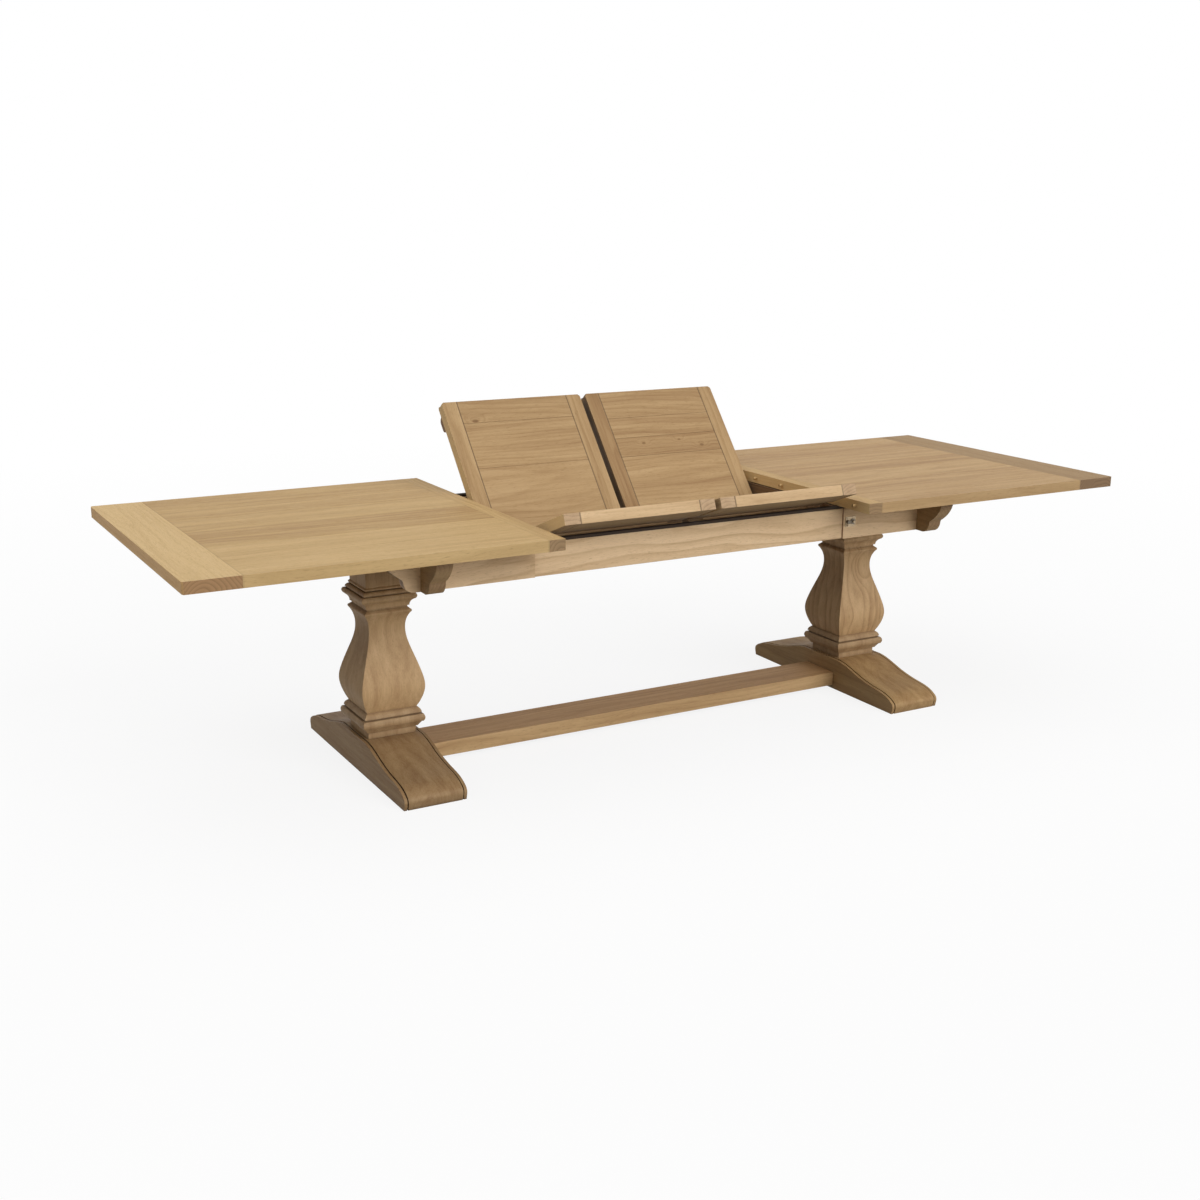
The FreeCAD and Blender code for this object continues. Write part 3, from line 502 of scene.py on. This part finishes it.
def round_breadboard(node, outer, radius, body):
    """Puts a breadboard with its two outer corners rounded in plan in the place of the plain one."""
    mesh = cad[node].data.copy()
    low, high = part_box(node)
    centre = (high.x if outer > 0 else low.x) - outer * radius
    ends = ((-1, low.y + radius), (1, high.y - radius))
    shape = bmesh.new()
    shape.from_mesh(mesh)
    bmesh.ops.remove_doubles(shape, verts=shape.verts[:], dist=SEAM)
    for share in CORNER_CUTS:
        cuts = [(Vector((centre + outer * share * radius, 0, 0)), (1, 0, 0))]
        cuts += [(Vector((0, y + end * share * radius, 0)), (0, 1, 0)) for end, y in ends]
        for point, across in cuts:
            bmesh.ops.bisect_plane(shape, geom=shape.verts[:] + shape.edges[:] + shape.faces[:],
                                   plane_co=point, plane_no=across)
    for vert in shape.verts:
        for end, y in ends:
            dx = outer * (vert.co.x - centre)
            dy = end * (vert.co.y - y)
            if dx > 0 and dy > 0:
                share = max(dx, dy) / math.hypot(dx, dy)
                vert.co.x = centre + outer * dx * share
                vert.co.y = y + end * dy * share
    shape.to_mesh(mesh)
    shape.free()
    board = bpy.data.objects.new(node + "_rounded", mesh)
    bpy.context.scene.collection.objects.link(board)
    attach(board, body)
    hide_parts(node)
    cad[node] = board


def round_corners(node, lay, outer, ends, radius):
    """Rounds a board's upright corners in plan, on its outer side along the table and at the given ends."""
    mesh = cad[node].data
    spots = [lay @ v.co for v in mesh.vertices]
    low, high = (Vector(pick(p[k] for p in spots) for k in range(3)) for pick in (min, max))
    side = low.y if outer > 0 else high.y
    tips = [high.x if end > 0 else low.x for end in ends]
    weights = []
    for edge in mesh.edges:
        p, q = (spots[v] for v in edge.vertices)
        upright = abs(p.z - q.z) > 0.5 * (high.z - low.z) and (p - q).to_2d().length < CORNER_LEAN
        corner = abs(p.y - side) < CORNER_REACH and any(abs(p.x - tip) < CORNER_REACH for tip in tips)
        weights.append(float(upright and corner))
    mesh.attributes.new("bevel_weight_edge", "FLOAT", "EDGE").data.foreach_set("value", weights)
    weld = cad[node].modifiers.new("close corners", "WELD")
    weld.merge_threshold = SEAM
    bend = cad[node].modifiers.new("round corners", "BEVEL")
    bend.width = radius
    bend.segments = 5
    bend.limit_method = "WEIGHT"
    bend.use_clamp_overlap = False


def dress(node, material, ease=0.0, curved=False):
    """Gives a CAD piece its material and slot, eases its edges and shades its curves smooth."""
    piece = cad[node]
    piece.data.materials.clear()
    piece.data.materials.append(material)
    if ease:
        weld = piece.modifiers.new("close seams", "WELD")
        weld.merge_threshold = SEAM
        soften = piece.modifiers.new("ease edges", "BEVEL")
        soften.width = ease
        soften.segments = 2
        soften.limit_method = "ANGLE"
        soften.angle_limit = math.radians(EASE_TURN)
        soften.harden_normals = True
        piece.data.polygons.foreach_set("use_smooth", [curved] * len(piece.data.polygons))
        if curved:
            true = piece.modifiers.new("true flats", "WEIGHTED_NORMAL")
            true.weight = 70


# Each planked panel: half width, joints as shares of the width, each plank's tone and the joints' darkness
TOP_PLANKS = {
    "left": (TOP_HALF, (0.165, 0.327, 0.427, 0.519, 0.681, 0.842),
             (0.35, 0.38, 0.60, 0.63, 0.44, 0.50, 0.56), 0.12),
    "right": (TOP_HALF, (0.135, 0.298, 0.462, 0.587, 0.752, 0.889),
              (0.48, 0.55, 0.46, 0.60, 0.50, 0.57, 0.50), 0.12),
}
LEAF_REAR_PLANKS = {
    "left": (LEAF_HALF, (0.521, 0.840), (0.45, 0.51, 0.57), 0.25),
    "right": (LEAF_HALF, (0.514, 0.652, 0.802), (0.50, 0.64, 0.50, 0.56), 0.25),
}
LEAF_FRONT_PLANKS = {
    "left": (LEAF_HALF, (0.160, 0.479), (0.46, 0.52, 0.56), 0.25),
    "right": (LEAF_HALF, (0.198, 0.348, 0.486), (0.44, 0.52, 0.58, 0.50), 0.25),
}

# Knots: place along and across the board from its middle, radius, and how dark the heart is
LEAF_REAR_KNOTS = {
    "left": ((-0.154, 0.186, 0.006, 0.45),),
    "right": ((-0.095, 0.055, 0.004, 0.40), (0.046, 0.060, 0.0035, 0.35), (0.127, 0.032, 0.0045, 0.35)),
}
BALUSTER_KNOTS = {"baluster_right": ((0.085, 0.022, 0.010, 0.0),)}

# Finish of each top's panel, then its breadboard's finish, edge tint and tone. The right top's are darker
# partly as painted shade of light that falls off to the right, and the left breadboard's paler tone is partly
# painted light
TOP_LOOKS = {
    "left": (TOP_FINISH, TOP_FINISH, RIM_WARMTH, 0.10),
    "right": (RIGHT_TOP_FINISH_AND_SHADE, BREADBOARD_PAINTED_SHADE, BREADBOARD_SHADE_EDGE_LIFT, 0.40),
}


class TABLE_OT_tops(bpy.types.Operator):
    """Dresses the two sliding tops: planked panels, breadboard ends, inner strips and pegs"""

    bl_idname = "table.tops"
    bl_label = "Tops"

    def execute(self, context):
        fine_ease = 0.4 * context.scene.table_oak.ease
        for i, side in enumerate(SIDES):
            name = "top_" + side
            panel_finish_and_shade, bread_finish_and_shade, bread_edge_tint_and_lift, bread_tone_and_light = TOP_LOOKS[side]
            panel = oak_board(name + "_panel", FLAT_X, panel_finish_and_shade, tone=0.46, seed=3 + 4 * i,
                              planks=TOP_PLANKS[side], figure=0.25, streak=0.65, butt=0.12)
            dress(name + "_panel", panel, TOP_PANEL_EASE)
            bread = oak_board(name + "_breadboard", FLAT_Y, bread_finish_and_shade, tone=bread_tone_and_light, seed=11 + 5 * i,
                              figure=0.35, streak=0.45, edge_tint_and_light=bread_edge_tint_and_lift)
            round_breadboard(name + "_breadboard", 2 * i - 1, BREAD_CORNER, name)
            dress(name + "_breadboard", bread, fine_ease)
            strip = oak_board(name + "_inner_strip", FLAT_Y, TOP_FINISH, tone=0.46, seed=13 + 5 * i,
                              figure=0.35, streak=0.45, side_light=0.5)
            dress(name + "_inner_strip", strip, fine_ease)
        pegs = oak_board("top_right_pegs", FLAT_X, TOP_FINISH, tone=0.45, seed=29, end_share=0.3)
        dress("top_right_pegs", pegs, PEG_EASE, curved=True)
        return {"FINISHED"}


class TABLE_OT_leaves(bpy.types.Operator):
    """Dresses the two folding leaves: panels, end strips and battens of their front and rear halves"""

    bl_idname = "table.leaves"
    bl_label = "Leaves"

    def execute(self, context):
        ease = context.scene.table_oak.ease
        # Front halves: painted light on their edges and ends, and painted shade on their undersides
        halves = (
            ("rear", REAR_SLOPE, LEAF_REAR_PLANKS, (), 1.0, 0.0),
            ("front", FRONT_SLOPE, LEAF_FRONT_PLANKS, FRONT_EDGE_PAINTED_LIGHT, 0.55, 0.3))
        for i, side in enumerate(SIDES):
            for j, (half, slope, planks, edge_tint_and_light, end_share, under_shade) in enumerate(halves):
                name = "leaf_" + side + "_" + half
                level = Matrix.Rotation(-math.radians(slope), 3, "X")
                seed = 17 + 6 * i + 3 * j
                knots = LEAF_REAR_KNOTS[side] if half == "rear" else ()
                panel = oak_board(name + "_panel", FLAT_X @ level, LEAF_FINISH, tone=0.42, seed=seed,
                                  planks=planks[side], knots=knots, figure=0.38, edge_tint_and_light=edge_tint_and_light, under_shade=under_shade,
                                  butt=0.6)
                dress(name + "_panel", panel, LEAF_PANEL_EASE)

                # Strips at the gap between the leaves get painted shade in their hollows, the outer ones
                # painted light on their long side edges
                for k, piece in enumerate(("strip_a", "strip_b")):
                    at_gap = i != k
                    tone = 0.66 if (side, piece, half) == ("right", "strip_a", "rear") else 0.40
                    board = oak_board(name + "_" + piece, FLAT_Y @ level, LEAF_FINISH, tone=tone,
                                      seed=seed + 31 + k, end_share=end_share, edge_tint_and_light=edge_tint_and_light, under_shade=under_shade,
                                      side_light=0.0 if at_gap else 0.85, hollow_shade=0.9 if at_gap else 0.0,
                                      hollow=0.045)
                    if half == "rear":
                        round_corners(name + "_" + piece, FLAT_Y @ level, 2 * k - 1, (1,), LEAF_CORNER)
                    dress(name + "_" + piece, board, ease)
                batten = oak_board(name + "_batten", FLAT_X @ level, LEAF_FINISH, tone=0.55, seed=seed + 41,
                                   under_shade=under_shade)
                dress(name + "_batten", batten, ease, curved=True)
        return {"FINISHED"}


class TABLE_OT_frame(bpy.types.Operator):
    """Dresses the frame below the tops: aprons, bearers and cross rails"""

    bl_idname = "table.frame"
    bl_label = "Frame"

    def execute(self, context):
        ease = context.scene.table_oak.ease
        for i, face in enumerate(("front", "rear")):
            for j, (piece, tone) in enumerate((("left", 0.28), ("middle", 0.28), ("right", 0.34))):
                name = "apron_" + face + "_" + piece
                board = oak_board(name, EDGE_X, APRON_FINISH, tone=tone, seed=51 + 7 * i + 2 * j, figure=0.85,
                                  streak=0.5, wave=1.8, spread=2.6)
                dress(name, board, ease)
        for i, side in enumerate(SIDES):
            bearer = oak_board("bearer_" + side, EDGE_Y, BEARER_PAINTED_SHADE, tone=0.45, seed=71 + i, figure=0.3,
                               end_share=0.8)
            dress("bearer_" + side, bearer, ease, curved=True)
            rail = oak_board("cross_rail_" + side, EDGE_Y, RAIL_PAINTED_SHADE, tone=0.55, seed=75 + i)
            dress("cross_rail_" + side, rail, ease)
        return {"FINISHED"}


class TABLE_OT_pedestals(bpy.types.Operator):
    """Dresses the pedestals, their feet and the stretcher between them"""

    bl_idname = "table.pedestals"
    bl_label = "Pedestals"

    def execute(self, context):
        ease = context.scene.table_oak.ease
        # The left foot gets more painted shade than the right, in its finish and in its hollows
        for i, (side, foot_finish_and_shade, foot_hollow_shade) in enumerate((
                ("left", LEFT_FOOT_FINISH_AND_SHADE, 0.75), ("right", RIGHT_FOOT_FINISH, 0.40))):
            for j, (piece, finish) in enumerate((
                    ("collar", COLLAR_FINISH), ("baluster", BASE_FINISH), ("capital", BASE_FINISH))):
                name = piece + "_" + side
                knots = BALUSTER_KNOTS.get(name, ())
                figure, wave, spread = (0.62, 1.6, 2.2) if knots else (0.14, 0.3, 1.0)
                block = oak_board(name, UPRIGHT, finish, tone=0.46, seed=81 + 5 * i + 2 * j, knots=knots,
                                  figure=figure, wave=wave, spread=spread, end_share=0.3, hollow_shade=0.55)
                dress(name, block, ease, curved=True)
            foot = oak_board("foot_" + side, FLAT_Y, foot_finish_and_shade, tone=0.56, seed=95 + i, figure=0.22,
                             wave=0.6, end_share=0.0, hollow_shade=foot_hollow_shade)
            dress("foot_" + side, foot, ease, curved=True)
        rail = oak_board("stretcher", FLAT_X, STRETCHER_FINISH, tone=0.42, seed=99, figure=0.35,
                         edge_tint_and_light=STRETCHER_LIFT)
        dress("stretcher", rail, ease)
        return {"FINISHED"}


# Metal fittings: painted, plated or cast, with lighter and darker patches and a fine uneven gloss
def fitting(name, colour, metallic, rough, spot):
    """One fitting's finish: spot is the size in metres of the patches in its gloss."""
    material, tree, shader = blank(name)
    place = add(tree, "ShaderNodeTexCoord")
    patch = add(tree, "ShaderNodeTexNoise", {
        "Vector": place.outputs["Object"], "Scale": 1 / spot, "Detail": 4.0})
    dusty = add(tree, "ShaderNodeValToRGB", {"Fac": patch.outputs["Fac"]})
    stops(dusty, [(0.30, [c * 0.72 for c in colour]), (0.55, colour),
                  (0.80, [min(1.0, c * 1.25) for c in colour])])
    tree.links.new(dusty.outputs["Color"], shader.inputs["Base Color"])
    sheen = add(tree, "ShaderNodeMapRange", {
        "Value": patch.outputs["Fac"], "From Min": 0.3, "From Max": 0.7,
        "To Min": rough - 0.08, "To Max": rough + 0.10})
    tree.links.new(sheen.outputs["Result"], shader.inputs["Roughness"])
    grit = add(tree, "ShaderNodeTexNoise", {
        "Vector": place.outputs["Object"], "Scale": 4 / spot, "Detail": 2.0})
    bump = add(tree, "ShaderNodeBump", {"Height": grit.outputs["Fac"], "Strength": 0.2, "Distance": 0.0002})
    tree.links.new(bump.outputs["Normal"], shader.inputs["Normal"])
    shader.inputs["Metallic"].default_value = metallic
    if not metallic:
        shader.inputs["Specular IOR Level"].default_value = 0.2
    return material


# A screw's head: points round each half, half the slot's width as an angle, turn from one screw to the next,
# and its two rims as height in metres and share of the radius
HEAD_POINTS = 11
SLOT_ANGLE = 0.16
SCREW_TURN = 0.9
HEAD_RIMS = ((-0.0002, 1.0), (0.0005, 0.8))


def screw_heads(name, places, towards, radius, body, material):
    """Slotted heads let into a fitting: places are their centres and towards is the way they face."""
    shape = bmesh.new()
    turn = Vector(towards).to_track_quat("Z", "Y").to_matrix()
    step = (math.pi - 2 * SLOT_ANGLE) / (HEAD_POINTS - 1)
    for k, place in enumerate(places):
        for half in (0, 1):
            first = SLOT_ANGLE + math.pi * half + SCREW_TURN * k
            angles = [first + i * step for i in range(HEAD_POINTS)]
            low, high = ([shape.verts.new(place + turn @ Vector((
                share * radius * math.cos(a), share * radius * math.sin(a), height))) for a in angles]
                for height, share in HEAD_RIMS)
            shape.faces.new(high)
            shape.faces.new(low[::-1])
            for i in range(HEAD_POINTS):
                j = (i + 1) % HEAD_POINTS
                shape.faces.new((low[i], low[j], high[j], high[i]))
    mesh = bpy.data.meshes.new(name)
    shape.to_mesh(mesh)
    shape.free()
    heads = bpy.data.objects.new(name, mesh)
    mesh.materials.append(material)
    bpy.context.scene.collection.objects.link(heads)
    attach(heads, body)


# Screws, all in metres. Hinge: its length, the screws along it, their distance from the fold, the pin's
# height over the surface and the head's radius
HINGE_LENGTH = 0.060
HINGE_SCREWS = (0.010, 0.030, 0.050)
HINGE_SCREW_OUT = 0.0185
PIN_LIFT = 0.0004
HINGE_HEAD = 0.0035

# Pivot arm: its plate, the screws' distance in from its ends and out from the rod, and the head's radius
ARM_PLATE = 0.003
ARM_SCREW_IN = 0.015
ARM_SCREW_OUT = 0.032
ARM_HEAD = 0.004

# Centre bracket: its plate, the screws' distance from its middle and from its ends, and the head's radius
BRACKET_PLATE = 0.004
BRACKET_SCREW_OUT = 0.008
BRACKET_SCREW_IN = 0.010
BRACKET_HEAD = 0.0028

# Latch plate: its thickness, the screws' distance from its edges, and the head's radius
LATCH_PLATE = 0.002
LATCH_SCREW_IN = 0.005
LATCH_HEAD = 0.0026


class TABLE_OT_fittings(bpy.types.Operator):
    """Dresses the runners, slide bars, pivots, hinges, tie rods and latch"""

    bl_idname = "table.fittings"
    bl_label = "Fittings"

    def execute(self, context):
        look = context.scene.table_metal
        # Black enamel on rolled steel: dark, slightly dusty, with a soft sheen
        black = fitting("black_painted_steel", list(look.black), metallic=0.0, rough=0.62, spot=0.012)
        # Bright zinc plate: pale grey with cloudy patches
        zinc = fitting("zinc_plated_steel", list(look.zinc), metallic=1.0, rough=0.36, spot=0.006)
        # Tumbled pewter-grey casting: dull grey with lighter rubbed patches
        pewter = fitting("pewter_finished_zinc", list(look.pewter), metallic=1.0, rough=0.45, spot=0.004)
        # Yellow-passivated zinc plate: straw coloured and a little cloudy
        yellow = fitting("yellow_passivated_zinc", list(look.yellow), metallic=1.0, rough=0.5, spot=0.005)
        # Rolled brass, gone a little dull
        brass = fitting("rolled_brass", list(look.brass), metallic=1.0, rough=0.42, spot=0.005)
        for name in ("runner_front", "runner_rear", "top_left_slides", "top_right_slides"):
            dress(name, black, RUNNER_EASE)
        dress("latch_lever", pewter, LATCH_EASE, curved=True)
        dress("latch_plate", yellow, LATCH_EASE, curved=True)
        for name in ("pivot_rod", "centre_bracket", "tie_rod_left", "tie_rod_right"):
            dress(name, zinc, PIVOT_EASE, curved=True)
        for side in SIDES:
            dress("leaf_" + side + "_pivot_arms", zinc, PIVOT_EASE, curved=True)
            dress("leaf_" + side + "_pivot_tube", zinc)
            for half in ("front", "rear"):
                dress("leaf_" + side + "_" + half + "_hinge_plates", brass, HINGE_EASE, curved=True)

        # The leaves' screws are placed as the leaves lie flat, then turned up with them about the pivot rod
        # and the fold
        low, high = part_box("pivot_rod")
        pivot = Vector((0.0, (low.y + high.y) / 2, (low.z + high.z) / 2))
        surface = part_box("top_left_panel")[1].z
        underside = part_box("top_left_panel")[0].z
        fold = Vector((0.0, 0.0, surface + PIN_LIFT))
        rear = Matrix.Translation(pivot) @ Matrix.Rotation(
            math.radians(REAR_SLOPE), 4, "X") @ Matrix.Translation(-pivot)
        front = Matrix.Translation(rear @ fold) @ Matrix.Rotation(
            math.radians(FRONT_SLOPE), 4, "X") @ Matrix.Translation(-fold)
        for side in SIDES:
            for half, raised, y in (("rear", rear, HINGE_SCREW_OUT), ("front", front, -HINGE_SCREW_OUT)):
                low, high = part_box("leaf_" + side + "_" + half + "_hinge_plates")
                starts = (low.x, high.x - HINGE_LENGTH)
                flat = [Vector((x + along, y, surface)) for x in starts for along in HINGE_SCREWS]
                screw_heads("leaf_" + side + "_" + half + "_hinge_screws", [raised @ p for p in flat],
                            raised.to_3x3() @ Vector((0, 0, 1)), HINGE_HEAD, "leaf_" + side + "_" + half,
                            brass)
            low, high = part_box("leaf_" + side + "_pivot_arms")
            flat = [Vector((x, pivot.y + y, underside - ARM_PLATE))
                    for x in (low.x + ARM_SCREW_IN, high.x - ARM_SCREW_IN)
                    for y in (-ARM_SCREW_OUT, ARM_SCREW_OUT)]
            screw_heads("leaf_" + side + "_arm_screws", [rear @ p for p in flat],
                        rear.to_3x3() @ Vector((0, 0, -1)), ARM_HEAD, "leaf_" + side + "_rear",
                        zinc)

        # Screws of the centre bracket and the latch plate face the front
        low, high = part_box("centre_bracket")
        places = [Vector((x, high.y - BRACKET_PLATE, z))
                  for x in (-BRACKET_SCREW_OUT, BRACKET_SCREW_OUT)
                  for z in (low.z + BRACKET_SCREW_IN, high.z - BRACKET_SCREW_IN)]
        screw_heads("bracket_screws", places, (0, -1, 0), BRACKET_HEAD, "base", zinc)
        low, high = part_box("latch_plate")
        places = [Vector((x, high.y - LATCH_PLATE, z))
                  for x in (low.x + LATCH_SCREW_IN, high.x - LATCH_SCREW_IN)
                  for z in (low.z + LATCH_SCREW_IN, high.z - LATCH_SCREW_IN)]
        screw_heads("latch_screws", places, (0, -1, 0), LATCH_HEAD, "base", yellow)
        return {"FINISHED"}


# Floor: half its length and its drop below the feet in metres, and the ring over which it goes from softly
# shaded to white, as distance in metres and share of white
FLOOR_HALF = 30.0
FLOOR_DROP = 0.0005
WHITE_FROM = (2.2, 0.85)
WHITE_TO = (6.0, 1.0)
WHITE = (1.0, 1.0, 1.0, 1.0)

# Lamps: the way from the table to each, and its width in degrees as the table sees it
KEY_WAY = (0.33, -0.86, 0.39)
KEY_WIDTH = 45
OVERHEAD_WAY = (-0.25, -0.1, 0.96)
OVERHEAD_WIDTH = 100

# Camera solved from the photograph: its place in metres, its yaw, pitch and roll in degrees, and its sensor's
# width in millimetres
CAMERA_PLACE = (-2.44983, -4.09521, 1.66336)
CAMERA_TURNS = (29.60, -14.84, 0.47)
SENSOR = 36.0


def in_sight(tree):
    """Is 1 to the camera, to gloss and to glass, and 0 to light on its way to the table."""
    ray = add(tree, "ShaderNodeLightPath")
    sight = add(tree, "ShaderNodeMath", {
        0: ray.outputs["Is Camera Ray"], 1: ray.outputs["Is Glossy Ray"]}, operation="MAXIMUM")
    seen = add(tree, "ShaderNodeMath", {
        0: sight.outputs["Value"], 1: ray.outputs["Is Transmission Ray"]}, operation="MAXIMUM")
    return seen.outputs["Value"]


class TABLE_OT_stage(bpy.types.Operator):
    """Sets the floor, the light and the camera"""

    bl_idname = "table.stage"
    bl_label = "Stage"

    def execute(self, context):
        scene = context.scene
        look = scene.table_stage
        scene.view_settings.view_transform = "Standard"

        # Matt studio floor: pale, and nearly white to the camera so that only a soft shadow shows
        material, tree, shader = blank("matt_studio_floor")
        shader.inputs["Roughness"].default_value = 0.9
        seen = in_sight(tree)
        paper = add(tree, "ShaderNodeMix", {
            "Factor": seen, 6: [*look.floor, 1.0], 7: WHITE}, data_type="RGBA")
        tree.links.new(paper.outputs[2], shader.inputs["Base Color"])
        spot = add(tree, "ShaderNodeTexCoord")
        away = add(tree, "ShaderNodeVectorMath", {0: spot.outputs["Object"]}, operation="LENGTH")
        bright = add(tree, "ShaderNodeMapRange", {
            "Value": away.outputs["Value"], "From Min": WHITE_FROM[0], "From Max": WHITE_TO[0],
            "To Min": WHITE_FROM[1], "To Max": WHITE_TO[1]})
        share = add(tree, "ShaderNodeMath", {0: seen, 1: bright.outputs["Result"]}, operation="MULTIPLY")
        white = add(tree, "ShaderNodeEmission", {"Color": WHITE, "Strength": 1.0})
        mixed = add(tree, "ShaderNodeMixShader", {
            "Fac": share.outputs["Value"], 1: shader.outputs["BSDF"], 2: white.outputs["Emission"]})
        finish = next(n for n in tree.nodes if n.type == "OUTPUT_MATERIAL")
        tree.links.new(mixed.outputs["Shader"], finish.inputs["Surface"])
        mesh = bpy.data.meshes.new("floor")
        shape = bmesh.new()
        bmesh.ops.create_grid(shape, x_segments=1, y_segments=1, size=FLOOR_HALF)
        shape.to_mesh(mesh)
        shape.free()
        floor = bpy.data.objects.new("floor", mesh)
        floor.data.materials.append(material)
        floor.location.z = -FLOOR_DROP
        scene.collection.objects.link(floor)

        # White surround that lights softly from all sides
        world = bpy.data.worlds.new("studio")
        scene.world = world
        world.use_nodes = True
        sky = world.node_tree
        sky.nodes.clear()
        level = add(sky, "ShaderNodeMapRange", {"Value": in_sight(sky), "To Min": look.fill, "To Max": 1.0})
        glow = add(sky, "ShaderNodeBackground", {"Color": WHITE, "Strength": level.outputs["Result"]})
        add(sky, "ShaderNodeOutputWorld", {"Surface": glow.outputs["Background"]})

        # Broad key from the front right and a soft light overhead
        for name, way, strength, width in (
                ("key", KEY_WAY, look.key, KEY_WIDTH), ("overhead", OVERHEAD_WAY, look.top, OVERHEAD_WIDTH)):
            lamp = bpy.data.lights.new(name, "SUN")
            lamp.energy = strength
            lamp.angle = math.radians(width)
            holder = bpy.data.objects.new(name, lamp)
            holder.rotation_mode = "QUATERNION"
            holder.rotation_quaternion = Vector(way).to_track_quat("Z", "Y")
            scene.collection.objects.link(holder)

        yaw, pitch, roll = (math.radians(a) for a in CAMERA_TURNS)
        ahead = Vector((math.sin(yaw) * math.cos(pitch), math.cos(yaw) * math.cos(pitch), math.sin(pitch)))
        level_right = Vector((math.cos(yaw), -math.sin(yaw), 0.0))
        level_up = level_right.cross(ahead)
        right = level_right * math.cos(roll) + level_up * math.sin(roll)
        up = level_up * math.cos(roll) - level_right * math.sin(roll)
        lens = bpy.data.cameras.new("camera")
        lens.lens = look.lens
        lens.sensor_width = SENSOR
        camera = bpy.data.objects.new("camera", lens)
        axes = Matrix((right, up, -ahead)).transposed()
        camera.matrix_world = Matrix.Translation(CAMERA_PLACE) @ axes.to_4x4()
        scene.collection.objects.link(camera)
        scene.camera = camera
        return {"FINISHED"}


class TABLE_PT_panel(bpy.types.Panel):
    """Sidebar panel with the table's pieces and finishes"""

    bl_label = "Trestle Table"
    bl_idname = "TABLE_PT_panel"
    bl_space_type = "VIEW_3D"
    bl_region_type = "UI"
    bl_category = "Table"

    def draw(self, context):
        column = self.layout.column()
        for group in (context.scene.table_oak, context.scene.table_metal, context.scene.table_stage):
            for key in group.bl_rna.properties.keys():
                if key not in ("rna_type", "name"):
                    column.prop(group, key)
        for step in STEPS:
            column.operator(step.bl_idname)


LOOKS = (("table_oak", OakLook), ("table_metal", MetalLook), ("table_stage", StageLook))
STEPS = (
    TABLE_OT_tops, TABLE_OT_leaves, TABLE_OT_frame, TABLE_OT_pedestals, TABLE_OT_fittings, TABLE_OT_stage)


def register():
    for key, group in LOOKS:
        bpy.utils.register_class(group)
        setattr(bpy.types.Scene, key, PointerProperty(type=group))
    for step in STEPS:
        bpy.utils.register_class(step)
    bpy.utils.register_class(TABLE_PT_panel)


def unregister():
    bpy.utils.unregister_class(TABLE_PT_panel)
    for step in reversed(STEPS):
        bpy.utils.unregister_class(step)
    for key, group in reversed(LOOKS):
        delattr(bpy.types.Scene, key)
        bpy.utils.unregister_class(group)


def main():
    register()
    bpy.ops.table.tops()
    bpy.ops.table.leaves()
    bpy.ops.table.frame()
    bpy.ops.table.pedestals()
    bpy.ops.table.fittings()
    bpy.ops.table.stage()


if __name__ == "__main__":
    main()
